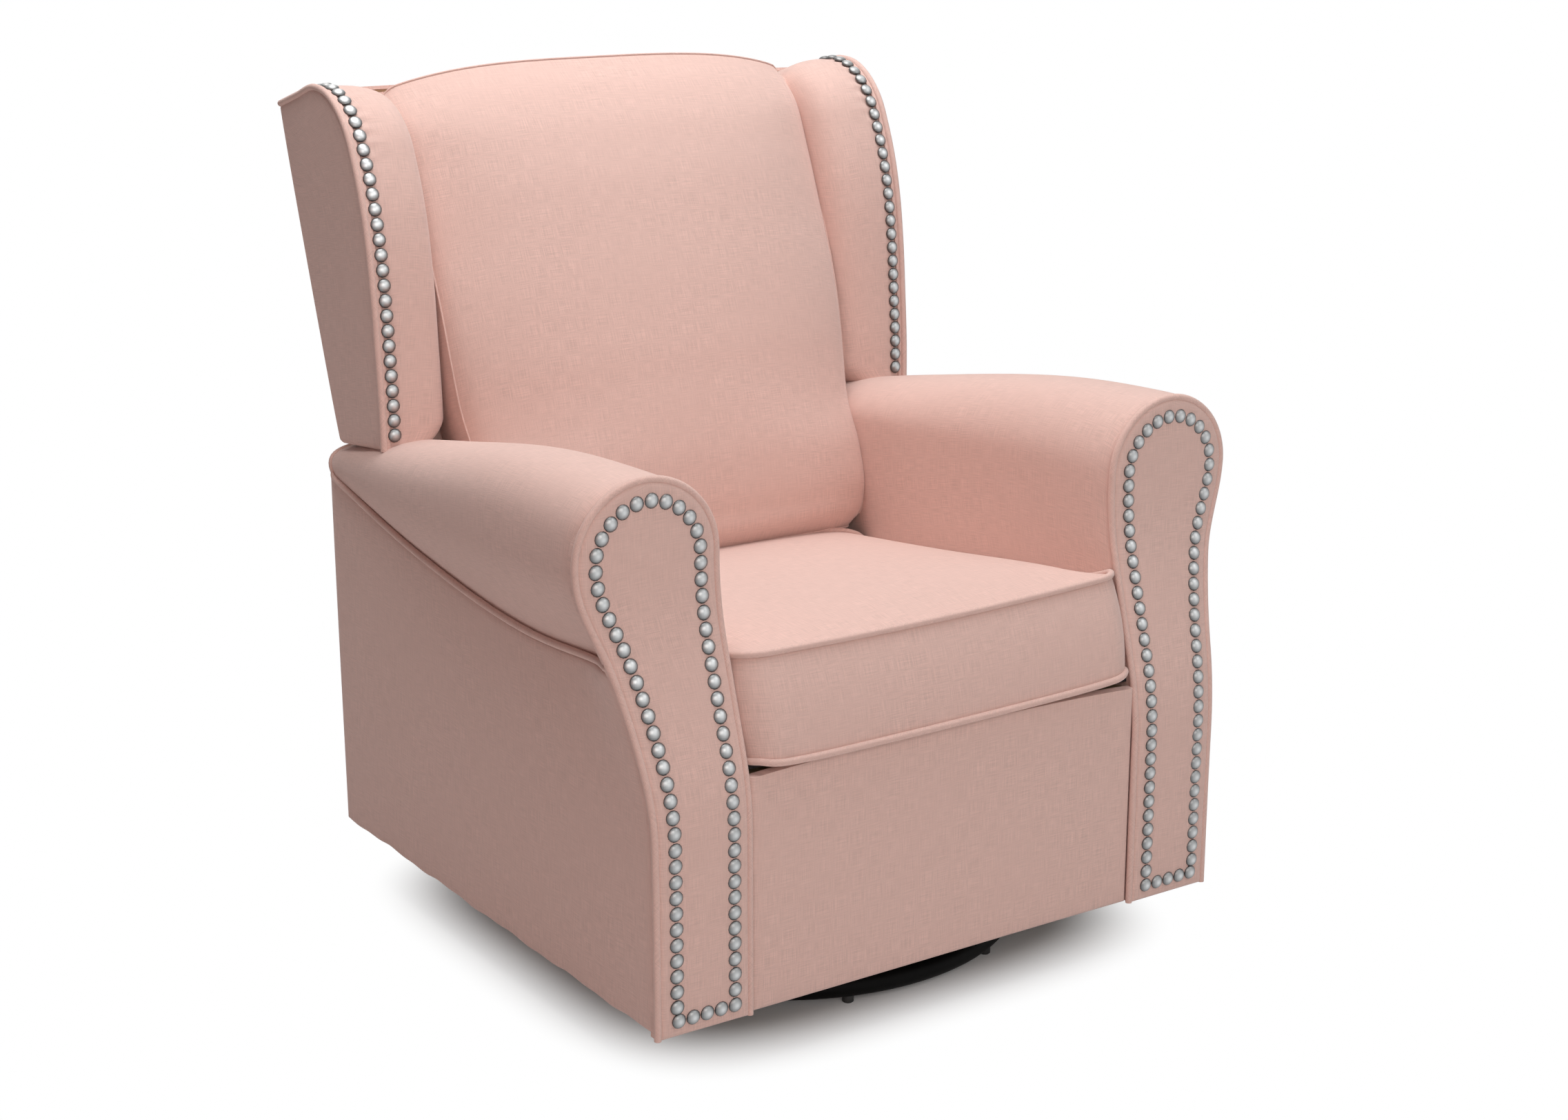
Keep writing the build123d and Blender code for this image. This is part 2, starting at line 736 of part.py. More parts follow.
def outside_back():
    """Rear cover of the back, with a tongue that runs down between the arms."""
    half = arm_outer_half - wing_panel_thickness
    cover = back_box(-half, half, 0, outside_back_thickness, wing_bottom_height, wing_rear_top_height)
    inner = arm_inner_half - soft_gap
    low = roll_seams[-1] - ledge_drop - 2 * panel_thickness
    return cover + back_box(-inner, inner, 0, outside_back_thickness, low, wing_bottom_height)


def back_rail(z0, z1):
    """Wooden rail from wing to wing, behind the posts."""
    half = arm_outer_half - wing_panel_thickness
    return back_box(-half, half, outside_back_thickness, outside_back_thickness + rail_thickness, z0, z1)


def back_top_rail():
    """Top rail, doubled between the wings so that it caps the posts."""
    half = wing_inner_half - soft_gap
    front = outside_back_thickness + rail_thickness
    cap = back_box(-half, half, front, front + post_thickness, top_rail_low, wing_rear_top_height)
    return back_rail(top_rail_low, wing_rear_top_height) + cap


top_rail_low = wing_rear_top_height - top_rail_height


def back_post():
    """Upright whose foot is cut level to stand on the rear seat rail."""
    front = outside_back_thickness + rail_thickness
    post = back_box(post_outer_half - post_width, post_outer_half, front, front + post_thickness,
                    rear_rail_top - post_thickness, top_rail_low)
    return post - cross_rail(rear_rail_depth) - box(0, 2 * post_outer_half, 0, total_depth, 0, rail_top_at(
        rear_rail_depth + rail_width))


def back_webs():
    front = outside_back_thickness + rail_thickness + post_thickness
    half = post_outer_half
    low = wing_bottom_height - web_low_drop
    step = (wing_rear_top_height - web_top_drop - low) / web_count
    webs = []
    for i in range(web_count):
        z = low + step * i
        webs.append(back_box(-half, half, front, front + web_thickness, z, z + web_width))
    return Compound(children=webs)


def back_brackets():
    """Angle plates that key the back's posts to the rear seat rail."""
    rear = rear_rail_depth + rail_width
    plate = box(post_outer_half - post_width, post_outer_half, rear, rear + bracket_thickness,
                frame_bottom + bracket_rise, rear_rail_top + bracket_reach)
    plate -= back_post()
    return Compound(children=[plate, mirrored(plate)])


def write(name, shape):
    export_step(shape, os.path.join("parts", name + ".step"))


def main():
    os.makedirs("parts", exist_ok=True)
    behind = front_region(front_thickness)
    ring = base_ring()
    write("base_ring", ring)
    write("base_feet", base_feet(ring))
    write("base_spider", base_spider(ring))
    write("swivel_lower_plate", disc(plate_radius, spider_top, lower_plate_top, kingpin_radius))
    write("swivel_slip_ring", disc(slip_outer_radius, lower_plate_top, slip_top, slip_inner_radius))
    bush_outer = kingpin_bore + bush_wall
    write("swivel_upper_plate", disc(plate_radius, upper_plate_low, upper_plate_top, bush_outer))
    write("swivel_bush", disc(bush_outer, upper_plate_low, upper_plate_top, kingpin_bore))
    write("kingpin", kingpin())
    write("kingpin_washer", disc(washer_radius, washer_low, nut_low, kingpin_radius))
    write("kingpin_nut", kingpin_nut())

    write("carriage_front_beam", carriage_beam(ring_depth - beam_spread))
    write("carriage_rear_beam", carriage_beam(ring_depth + beam_spread))
    side = carriage_side()
    write("carriage_right_side", side)
    write("carriage_left_side", mirrored(side))
    write("upper_pivot_pins", upper_pivots())
    write("glide_stops", glide_stops())
    for name, d in (("front", ring_depth - pivot_spread), ("rear", ring_depth + pivot_spread)):
        bar = link(d)
        write(name + "_right_link", bar)
        write(name + "_left_link", mirrored(bar))
        write(name + "_link_bushes", link_bushes(d))
        tie = rod_x(-link_low_x, link_low_x, d, upper_pivot_height - tie_drop, tie_radius)
        write(name + "_link_tie_bar", tie)

    plate = hanger()
    write("right_hanger", plate)
    write("left_hanger", mirrored(plate))
    write("lower_pivot_pins", lower_pivots())
    write("hanger_bolts", hanger_bolts())
    rail = side_rail()
    write("right_side_rail", rail)
    write("left_side_rail", mirrored(rail))
    write("front_rail", cross_rail(front_rail_depth) & behind)
    write("rear_rail", cross_rail(rear_rail_depth))
    write("corner_blocks", corner_blocks())
    write("seat_springs", seat_springs())
    write("spring_clips", spring_clips())
    write("seat_deck", seat_deck())

    front = arm_front()
    pad = arm_pad(behind)
    outside = seam_panel(arm_outer_half - panel_thickness, arm_outer_half, arm_rear_depth, hem_height,
                         2 * soft_gap, behind)
    board = seam_panel(board_inner, board_outer, arm_length, hem_height + board_rise, 2 * soft_gap, behind)
    pairs = {"arm_front": front, "arm_pad": pad, "outside_arm": outside, "arm_board": board,
             "wing_panel": wing_panel(), "wing_pad": wing_pad(), "back_post": back_post()}
    for name, shape in pairs.items():
        write("right_" + name, shape)
        write("left_" + name, mirrored(shape))
    spacers = arm_spacers()
    write("arm_spacers", Compound(children=spacers + [mirrored(s) for s in spacers]))
    write("front_apron", front_apron())
    write("lower_back_panel", lower_back())
    write("seat_cushion", seat_cushion())
    write("back_cushion", back_cushion())
    write("outside_back", outside_back())
    lower_rail_low = wing_bottom_height + lower_rail_rise
    write("back_top_rail", back_top_rail())
    write("back_lower_rail", back_rail(lower_rail_low, lower_rail_low + lower_rail_height))
    write("back_webs", back_webs())
    write("back_brackets", back_brackets())


if __name__ == "__main__":
    main()
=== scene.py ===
"""Looks of the swivel glider chair: covers, cushions, welts, nail heads and finishes on its CAD frame.

Helper measures are millimetres: x across, d behind the arm fronts and z above the floor. Left and right
are as seen from the front, and pieces are shaped on the right, then mirrored.
"""

import json
import math
from functools import cache

import bpy
import numpy as np
from bpy.props import FloatProperty, FloatVectorProperty, IntProperty, PointerProperty
from bpy.types import Operator, Panel, PropertyGroup
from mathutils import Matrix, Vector

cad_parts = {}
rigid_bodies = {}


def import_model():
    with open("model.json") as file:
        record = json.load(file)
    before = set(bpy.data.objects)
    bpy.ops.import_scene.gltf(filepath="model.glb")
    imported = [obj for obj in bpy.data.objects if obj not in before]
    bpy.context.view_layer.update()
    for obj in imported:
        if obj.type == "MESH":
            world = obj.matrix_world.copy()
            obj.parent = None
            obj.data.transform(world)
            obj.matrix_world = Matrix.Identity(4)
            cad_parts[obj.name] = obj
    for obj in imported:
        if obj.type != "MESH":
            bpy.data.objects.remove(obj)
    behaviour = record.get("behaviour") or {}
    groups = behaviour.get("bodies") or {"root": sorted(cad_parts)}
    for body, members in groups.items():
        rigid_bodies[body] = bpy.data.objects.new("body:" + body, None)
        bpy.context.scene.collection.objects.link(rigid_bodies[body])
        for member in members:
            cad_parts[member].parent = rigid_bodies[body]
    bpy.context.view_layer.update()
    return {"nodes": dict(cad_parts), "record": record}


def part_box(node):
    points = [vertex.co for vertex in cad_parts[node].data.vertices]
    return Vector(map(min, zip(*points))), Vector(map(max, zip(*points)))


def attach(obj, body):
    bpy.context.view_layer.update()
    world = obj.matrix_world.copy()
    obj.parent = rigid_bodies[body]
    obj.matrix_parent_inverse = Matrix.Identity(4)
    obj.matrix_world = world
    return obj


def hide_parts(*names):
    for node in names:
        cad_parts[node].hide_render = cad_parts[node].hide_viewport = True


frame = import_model()

bl_info = {
    "name": "Glider Chair Dresser",
    "version": (1, 0, 0),
    "blender": (4, 5, 0),
    "location": "View3D > Sidebar > Chair",
    "description": "Dresses the swivel glider chair's frame with covers, cushions, trim and finishes",
    "category": "Object",
}

MM = 0.001
SIDES = {"right": 1, "left": -1}
WHITE = (1.0, 1.0, 1.0)


def low(node, axis):
    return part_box(node)[0][axis] / MM


def high(node, axis):
    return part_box(node)[1][axis] / MM


# Measures that come from the frame
FRONT_Y = low("right_arm_front", 1)
HEM = low("front_apron", 2)
PANEL_INNER = low("right_arm_front", 0)
ARM_INNER = PANEL_INNER - 1
ARM_OUTER = high("right_outside_arm", 0)
ARM_TOP = high("right_arm_front", 2)
ARM_END = high("right_arm_pad", 1) - FRONT_Y
ARM_REAR = high("right_outside_arm", 1) - FRONT_Y
ARM_WIDTH = ARM_OUTER - ARM_INNER
ROLL_OUT = high("right_arm_front", 0)
APRON_TOP = high("front_apron", 2)
LEDGE = high("lower_back_panel", 2)
WING_LOW = low("right_wing_panel", 2)
WING_INNER = low("right_wing_pad", 0)
BACK_TOP = high("outside_back", 2)
BACK_HALF = high("outside_back", 0)

# Measures of the covers; the roll's are shares of the arm's length, height and width
LEAN_START, LEAN_END, LEAN_DEPTH, LEAN_BEND = 300.0, 488.0, 55.0, 42.0
ROLL_RADIUS = 80.0
NECK = (278.0, 438.0)
NECK_SHARE = 0.42
ROLL_STATIONS = (0.0, 0.34, 0.68, 1.0)
ROLL_TOPS = (1.0, 0.983, 0.921, 0.852)
ROLL_SEAMS = (0.714, 0.686, 0.725, 0.799)
ROLL_SIDES = (0.871, 0.866, 0.840, 0.822)
ROLL_WIDTHS = (1.468, 1.387, 1.225, 1.027)
ROLL_UNDER = 0.4
ROLL_FOOT = 268.0
FLARE_REACH = 70.0
WING_NAIL_LINE = ARM_OUTER - 15.0
WING_PUCKER = 915.0
BACK_RAKE = math.radians(18.3)
BACK_FOOT = (700.0, 548.0)
SEAT_FRONT = (2.0, 328.7)
SEAT_PITCH = math.atan(67.0 / 530.0)
SEAT_LENGTH, SEAT_THICK = 494.0, 113.0
# Front and top edge (d, z) of a wing
WING_PATH = ((583, 551), (584, 600), (588, 660), (594, 730), (602, 785), (613, 830), (627, 868), (645, 904),
             (667, 927), (695, 942), (726, 946), (772, 934), (823, 920))
WING_FOOT = 548.0
# Heights along the raked back, and the pillow's half width, edge and crown there
PILLOW_UPS = (-208.0, -195.0, -170.0, -113.0, -40.0, 0.0, 28.0, 72.0, 117.0, 180.0, 270.0, 330.0, 368.0, 402.0)
PILLOW_HALVES = (249.0, 252.5, 254.0, 255.0, 263.0, 268.0, 270.0, 272.0, 273.0, 274.0, 274.5, 275.5, 277.0, 279.0)
PILLOW_EDGES = (104.0, 122.0, 140.0, 148.0, 126.0, 125.0, 127.0, 130.0, 131.0, 128.0, 122.0, 114.0, 100.0, 82.0)
PILLOW_CROWNS = (42.0, 42.0, 35.0, 36.0, 57.0, 57.0, 55.0, 50.0, 46.0, 43.0, 41.0, 39.0, 36.0, 28.0)


# Points and curves

def place(x, d, z):
    """Row-frame points, in metres, from measures across, behind the arm fronts and above the floor."""
    x, d, z = np.broadcast_arrays(np.asarray(x, float), np.asarray(d, float), np.asarray(z, float))
    return np.stack([x, d + FRONT_Y, z], -1) * MM


def ease(xs, ys, x):
    """Smooth curve through points."""
    xs, ys, x = np.asarray(xs, float), np.asarray(ys, float), np.asarray(x, float)
    slope = np.gradient(ys, xs, axis=0)
    i = np.clip(np.searchsorted(xs, x) - 1, 0, len(xs) - 2)
    step = xs[i + 1] - xs[i]
    t = np.clip((x - xs[i]) / step, 0, 1)
    if ys.ndim > 1:
        step, t = step[..., None], t[..., None]
    return (ys[i] * (1 + 2 * t) * (1 - t) ** 2 + slope[i] * step * t * (1 - t) ** 2
            + ys[i + 1] * t * t * (3 - 2 * t) + slope[i + 1] * step * t * t * (t - 1))


def lengths(points):
    """Running length along a polyline."""
    return np.concatenate([[0], np.cumsum(np.linalg.norm(np.diff(points, axis=0), axis=1))])


def spaced(points, step):
    """The same path with evenly spaced points."""
    run = lengths(points)
    count = max(2, int(round(run[-1] / step)) + 1)
    at = np.linspace(0, run[-1], count)
    return np.stack([np.interp(at, run, points[:, k]) for k in range(points.shape[1])], -1)


def smooth_path(points, step):
    """Evenly spaced points on a smooth curve through a few points."""
    points = np.asarray(points, float)
    run = lengths(points)
    return spaced(ease(run, points, np.linspace(0, run[-1], 400)), step)


def right_of(points):
    """Unit steps to the right-hand side of a path, in its own plane."""
    ahead = np.gradient(points, axis=0)
    ahead /= np.linalg.norm(ahead, axis=1)[:, None]
    return np.stack([ahead[:, 1], -ahead[:, 0]], -1)


def edge_steps(length, inner, fine=(0, 0.7, 1.8, 3.4, 6)):
    """Positions along a width that crowd at both edges, where the cloth rolls over."""
    count = max(2, int((length - 2 * fine[-1]) / inner))
    middle = np.linspace(fine[-1], length - fine[-1], count)
    ends = np.array(fine[:-1], float)
    return np.concatenate([ends, middle, length - ends[::-1]])


def rolled(distance, radius=6.0, drop=5.0):
    """How far cloth drops as it rolls over an edge."""
    return drop * np.clip(1 - np.asarray(distance) / radius, 0, 1) ** 2


def ripple(points, size, amount, phase):
    """Slow, even unevenness of stretched cloth."""
    p = np.asarray(points) / (size * MM)
    wave = np.sin(p[..., 0] * 1.3 + phase) * np.sin(p[..., 2] * 1.1 + 0.7 * phase + 1.0)
    return amount * (wave + 0.6 * np.sin(p[..., 1] * 1.7 + 0.8 * p[..., 2] + 1.9 * phase))


def blend_in(value, start, end):
    """Smooth step from 0 at start to 1 at end."""
    t = np.clip((np.asarray(value, float) - start) / (end - start), 0, 1)
    return t * t * (3 - 2 * t)


# Meshes

def mesh_object(name, points, faces, uvs, material, sharp=50):
    """A finished piece from points, faces and the cloth's own coordinates at each corner."""
    mesh = bpy.data.meshes.new(name)
    mesh.from_pydata(np.asarray(points).reshape(-1, 3).tolist(), [], faces)
    layer = mesh.uv_layers.new(name="weave")
    layer.data.foreach_set("uv", np.asarray(uvs, np.float32).ravel())
    mesh.validate()
    mesh.shade_smooth()
    mesh.set_sharp_from_angle(angle=math.radians(sharp))
    mesh.materials.append(material)
    piece = bpy.data.objects.new(name, mesh)
    bpy.context.scene.collection.objects.link(piece)
    return piece


def grid_lengths(grid):
    """Cloth coordinates of a grid: its running lengths along rows and columns."""
    across = np.zeros(grid.shape[:2])
    along = np.zeros(grid.shape[:2])
    across[:, 1:] = np.cumsum(np.linalg.norm(np.diff(grid, axis=1), axis=2), axis=1)
    along[1:] = np.cumsum(np.linalg.norm(np.diff(grid, axis=0), axis=2), axis=0)
    return np.stack([across - across.mean(axis=1)[:, None], along], -1)


def quads(index, turned=False):
    """Faces between neighbouring entries of an index grid."""
    a, b, c, d = index[:-1, :-1], index[:-1, 1:], index[1:, 1:], index[1:, :-1]
    ring = (a, d, c, b) if turned else (a, b, c, d)
    return np.stack(ring, -1).reshape(-1, 4)


def fix_normals(piece):
    """Turns a closed piece's faces outwards."""
    mesh = piece.data
    mesh.calc_loop_triangles()
    a, b, c = points_of(mesh)[np.array([t.vertices[:] for t in mesh.loop_triangles])].transpose(1, 0, 2)
    if (np.cross(a, b) * c).sum() < 0:
        mesh.flip_normals()


def points_of(mesh):
    data = np.zeros(len(mesh.vertices) * 3, np.float32)
    mesh.vertices.foreach_get("co", data)
    return data.reshape(-1, 3).astype(float)


def set_points(mesh, points):
    mesh.vertices.foreach_set("co", points.astype(np.float32).ravel())
    mesh.update()


def border_of(index):
    """Entries round the edge of an index grid."""
    return np.concatenate([index[0, :-1], index[:-1, -1], index[-1, :0:-1], index[:0:-1, 0]])


def slab(name, face, back, material):
    """Closed piece of two equal grids joined along their borders."""
    rows, columns = face.shape[:2]
    count = rows * columns
    index = np.arange(count).reshape(rows, columns)
    uv = grid_lengths(face)
    flat_uv = np.concatenate([uv.reshape(-1, 2)] * 2)
    border = border_of(index)
    border = np.append(border, border[0])
    faces = np.concatenate([quads(index), quads(index + count, True), quads(np.stack([border + count, border]))])
    points = np.concatenate([face.reshape(-1, 3), back.reshape(-1, 3)])
    piece = mesh_object(name, points, faces.tolist(), flat_uv[faces.ravel()], material)
    fix_normals(piece)
    return piece


def tube(name, rows, material, sharp=50):
    """Closed piece of rings of points, with flat ends."""
    count, around = rows.shape[:2]
    index = np.arange(count * around).reshape(count, around)
    wrapped = np.concatenate([index, index[:, :1]], axis=1)
    ring_points = np.concatenate([rows, rows[:, :1]], axis=1)
    uv = grid_lengths(ring_points)
    corner = np.arange(count * (around + 1)).reshape(count, around + 1)
    faces = quads(wrapped).tolist()
    uvs = uv.reshape(-1, 2)[quads(corner).ravel()].tolist()
    for ring in (index[0][::-1], index[-1]):
        faces.append(ring.tolist())
        uvs += rows.reshape(-1, 3)[ring][:, [0, 2]].tolist()
    piece = mesh_object(name, rows, faces, uvs, material, sharp)
    fix_normals(piece)
    return piece


def on_side(points, sign):
    return points * np.array([sign, 1, 1])


def dress(piece, nodes=()):
    """Hands a finished piece to the frame."""
    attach(piece, "chair")
    if nodes:
        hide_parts(*nodes)
    return piece


def cover(name, node, face, back, wave, sign=1):
    """Cloth panel in place of a node, uneven along one axis."""
    axis, size, amount, phase = wave
    face[..., axis] += ripple(face, size, amount, phase) * MM
    piece = slab(name, on_side(face, sign), on_side(back, sign), linen())
    return dress(piece, [node])


# Nodes

def new_node(tree, kind, settings, inputs):
    """A node with its settings, then the values or links of its sockets."""
    node = tree.nodes.new(kind)
    for key, value in settings.items():
        setattr(node, key, value)
    for key, value in inputs.items():
        if isinstance(value, bpy.types.NodeSocket):
            tree.links.new(value, node.inputs[key])
        else:
            node.inputs[key].default_value = value
    return node


class Value:
    """A shader number, whose sums and products add Math nodes."""

    def __init__(self, finish, node, socket):
        self.finish, self.node, self.socket = finish, node, socket

    def out(self, name):
        return Value(self.finish, self.node, self.node.outputs[name])

    def join(self, how, other, turned=False):
        pair = (other, self) if turned else (self, other)
        return self.finish.add("ShaderNodeMath", {"operation": how}, {0: pair[0], 1: pair[1]})

    def __add__(self, other):
        return self.join("ADD", other)

    def __sub__(self, other):
        return self.join("SUBTRACT", other)

    def __rsub__(self, other):
        return self.join("SUBTRACT", other, True)

    def __mul__(self, other):
        return self.join("MULTIPLY", other)

    def __pow__(self, other):
        return self.join("POWER", other)

    __radd__, __rmul__ = __add__, __mul__

    def sine(self):
        return self.finish.add("ShaderNodeMath", {"operation": "SINE"}, {0: self})

    def ramp(self, start, end, low_value=0.0, high_value=1.0):
        return self.finish.add("ShaderNodeMapRange", {"clamp": True}, {
            0: self, 1: start, 2: end, 3: low_value, 4: high_value})


class Nodes:
    """A shader node tree under construction."""

    def __init__(self, tree):
        self.tree = tree

    def add(self, kind, settings, inputs):
        plain = {key: value.socket if isinstance(value, Value) else value for key, value in inputs.items()}
        node = new_node(self.tree, kind, settings, plain)
        return Value(self, node, node.outputs[0])

    def have(self, name):
        """First output of a node that the tree starts with."""
        node = self.tree.nodes[name]
        return Value(self, node, node.outputs[0])

    def background_rays(self):
        """1 for rays that show the background: seen, mirrored or through glass."""
        path = self.add("ShaderNodeLightPath", {}, {})
        shown = path.out("Is Camera Ray")
        for ray in ("Is Glossy Ray", "Is Transmission Ray"):
            shown = shown.join("MAXIMUM", path.out(ray))
        return shown

    def end(self, output, factor, first, second):
        """Ends the tree with a mix of two shaders."""
        mixed = self.add("ShaderNodeMixShader", {}, {0: factor, 1: first, 2: second})
        self.tree.links.new(mixed.socket, self.tree.nodes[output].inputs["Surface"])


class Finish(Nodes):
    """A material under construction."""

    def __init__(self, name, **constants):
        self.material = bpy.data.materials.new(name)
        self.material.use_nodes = True
        super().__init__(self.material.node_tree)
        self.shader = self.tree.nodes["Principled BSDF"]
        for socket, value in constants.items():
            self.shader.inputs[socket.replace("_", " ")].default_value = value

    def feed(self, socket, value):
        self.tree.links.new(value.socket, self.shader.inputs[socket])

    def vector(self, x, y, z=0.0):
        return self.add("ShaderNodeCombineXYZ", {}, {0: x, 1: y, 2: z})

    def parts(self, vector):
        """Numbers of a vector."""
        split = self.add("ShaderNodeSeparateXYZ", {}, {0: vector})
        return [split.out(axis) for axis in "XYZ"]

    def noise(self, vector, scale=1.0, detail=2.0):
        return self.add("ShaderNodeTexNoise", {"noise_dimensions": "3D"}, {
            "Vector": vector, "Scale": scale, "Detail": detail, "Roughness": 0.5})

    def mix(self, factor, first, second):
        node = self.add("ShaderNodeMix", {"data_type": "RGBA"}, {0: factor, 6: rgba(first), 7: rgba(second)})
        return Value(self, node.node, node.node.outputs[2])

    def bump(self, height, strength, distance):
        self.feed("Normal", self.add("ShaderNodeBump", {}, {
            "Strength": strength, "Distance": distance, "Height": height}))

    def object_point(self):
        return self.add("ShaderNodeTexCoord", {}, {}).out("Object")

    def cloth_point(self):
        """The piece's own cloth coordinates."""
        return self.add("ShaderNodeUVMap", {"uv_map": "weave"}, {})


def rgba(colour, share=1.0):
    """Four numbers of a colour; a colour that varies passes through."""
    if isinstance(colour, Value):
        return colour
    return (*[min(1.0, c * share) for c in colour[:3]], 1.0)


@cache
def linen():
    """Plain-weave cloth with uneven yarns both ways."""
    look = bpy.context.scene.chair_cloth
    cloth = Finish("blush_linen", Roughness=0.88, Sheen_Weight=0.3, Sheen_Roughness=0.45, Specular_IOR_Level=0.25)
    u, v, _ = cloth.parts(cloth.cloth_point())
    fine, long, patch = 1 / look.yarn_width, 1 / look.slub_length, 9.0
    warp = cloth.noise(cloth.vector(u * fine, v * long), 1.0, 1.0)
    weft = cloth.noise(cloth.vector(u * long, v * fine, 7.0), 1.0, 1.0)
    broad = cloth.noise(cloth.vector(u * patch, v * patch, 3.0))
    yarn = warp + weft
    tone = cloth.mix(yarn.ramp(0.72, 1.28), rgba(look.colour, 1 - look.contrast), rgba(look.colour, 1 + look.contrast))
    cloth.feed("Base Color", cloth.mix(broad.ramp(0.35, 0.65, 0.0, 0.5), tone, look.colour))
    turn = 2 * math.pi / look.weave_pitch
    weave = (u * turn).sine() * (v * turn).sine()
    cloth.bump(yarn + weave * 0.25, look.relief, 0.0005)
    return cloth.material


@cache
def nail_metal():
    """Satin plated steel, with painted shade that darkens each head's colour towards its rim."""
    metal = Finish("nail_satin_steel", Metallic=1.0)
    rim = metal.add("ShaderNodeAttribute", {"attribute_name": "rim"}, {}).out("Fac")
    cloud = metal.noise(metal.object_point(), 420.0)
    # painted shade: the head's colour falls from the plain metal tone at its centre to near black at its rim
    metal.feed("Base Color", metal.mix(rim.ramp(0.12, 0.95), (0.57, 0.58, 0.585), (0.13, 0.13, 0.13)))
    metal.feed("Roughness", cloud.ramp(0.3, 0.7, 0.33, 0.45))
    return metal.material


def speckled(name, scale, cloudy, tones, rough, detail=2.0, grain=None, **constants):
    """Metal, plastic or rubber that is cloudy in tone and roughness, with a fine grain where one is given."""
    look = Finish(name, **constants)
    cloud = look.noise(look.object_point(), scale, detail)
    look.feed("Base Color", look.mix(cloud.ramp(*cloudy), *tones))
    look.feed("Roughness", cloud.ramp(0.3, 0.7, *rough))
    if grain:
        grain_scale, strength = grain
        look.bump(look.noise(look.object_point(), grain_scale), strength, 0.0002)
    return look.material


# Finish of each material slot that keeps its CAD form
SPECKLED = {
    "black_steel": dict(name="black_powder_coat", scale=14.0, detail=3.0, cloudy=(0.35, 0.7), rough=(0.42, 0.56),
                        tones=((0.004, 0.004, 0.004), (0.009, 0.009, 0.009)), grain=(900.0, 0.15),
                        Specular_IOR_Level=0.05),
    "bright_steel": dict(name="bright_zinc", scale=160.0, detail=3.0, cloudy=(0.35, 0.65), rough=(0.28, 0.42),
                         tones=((0.50, 0.50, 0.51), (0.64, 0.64, 0.65)), Metallic=1.0),
    "black_plastic": dict(name="moulded_black", scale=30.0, cloudy=(0.3, 0.7), rough=(0.5, 0.66),
                          tones=((0.018, 0.018, 0.018), (0.032, 0.032, 0.032)), grain=(1200.0, 0.2),
                          Specular_IOR_Level=0.4),
    "buffer_rubber": dict(name="buffer_rubber", scale=60.0, detail=4.0, cloudy=(0.4, 0.8), rough=(0.7, 0.9),
                          tones=((0.012, 0.012, 0.012), (0.05, 0.05, 0.048)), Specular_IOR_Level=0.3),
}


def frame_wood():
    """Sawn timber with long grain."""
    wood = Finish("sawn_frame_wood", Roughness=0.75)
    x, y, z = wood.parts(wood.object_point())
    grain = wood.noise(wood.vector(x * 9.0, y * 90.0, z * 90.0), 1.0, 4.0)
    rings = (z * 420.0 + grain * 9.0).sine()
    wood.feed("Base Color", wood.mix(rings.ramp(-1, 1), (0.42, 0.28, 0.15), (0.62, 0.46, 0.29)))
    wood.bump(grain, 0.2, 0.0006)
    return wood.material


@cache
def black_lining():
    """Black lining cloth and webbing with a coarse weave."""
    cloth = Finish("black_lining", Roughness=0.95, Sheen_Weight=0.2, Specular_IOR_Level=0.2)
    u, v, _ = cloth.parts(cloth.cloth_point())
    turn = 2600.0
    weave = (u * turn).sine() * (v * turn).sine()
    cloth.feed("Base Color", cloth.mix(weave.ramp(-1, 1), (0.016, 0.016, 0.017), (0.05, 0.05, 0.052)))
    cloth.bump(weave, 0.4, 0.0006)
    return cloth.material


# Geometry node trees

class Tree:
    """A node tree under construction, with named inputs."""

    def __init__(self, name, inputs):
        self.tree = bpy.data.node_groups.new(name, "GeometryNodeTree")
        self.ids = {}
        for label, kind in inputs.items():
            socket = self.tree.interface.new_socket(label, in_out="INPUT", socket_type="NodeSocket" + kind)
            self.ids[label] = socket.identifier
        self.tree.interface.new_socket("Result", in_out="OUTPUT", socket_type="NodeSocketGeometry")
        self.given = self.tree.nodes.new("NodeGroupInput").outputs

    def add(self, kind, settings=None, **inputs):
        kind = kind if kind.startswith("FunctionNode") else "GeometryNode" + kind
        named = {key.replace("_", " "): value for key, value in inputs.items()}
        return new_node(self.tree, kind, settings or {}, named).outputs

    def store_run(self, curve, name):
        """Keeps the running length along a curve as an attribute."""
        run = self.add("SplineParameter")["Length"]
        return self.add("StoreNamedAttribute", {"domain": "POINT", "data_type": "FLOAT"}, Geometry=curve,
                        Name=name, Value=run)[0]

    def close(self, geometry, material):
        """Ends the tree with plain geometry in one finish."""
        real = self.add("RealizeInstances", Geometry=geometry)[0]
        done = self.add("SetMaterial", Geometry=real, Material=material)[0]
        self.tree.links.new(done, self.tree.nodes.new("NodeGroupOutput").inputs[0])

    def run(self, name, points, edges, attributes, values):
        """Runs the tree on a path or a set of points, and returns the result as a plain piece."""
        mesh = bpy.data.meshes.new(name)
        mesh.from_pydata(np.asarray(points).tolist(), edges, [])
        for key, data in attributes.items():
            mesh.attributes.new(key, "FLOAT_VECTOR", "POINT").data.foreach_set("vector", np.ravel(data))
        piece = bpy.data.objects.new(name, mesh)
        bpy.context.scene.collection.objects.link(piece)
        modifier = piece.modifiers.new("tree", "NODES")
        modifier.node_group = self.tree
        for label, value in values.items():
            modifier[self.ids[label]] = value
        shown = piece.evaluated_get(bpy.context.evaluated_depsgraph_get())
        result = bpy.data.meshes.new_from_object(shown)
        piece.modifiers.remove(modifier)
        piece.data = result
        result.name = name
        bpy.data.meshes.remove(mesh)
        return piece


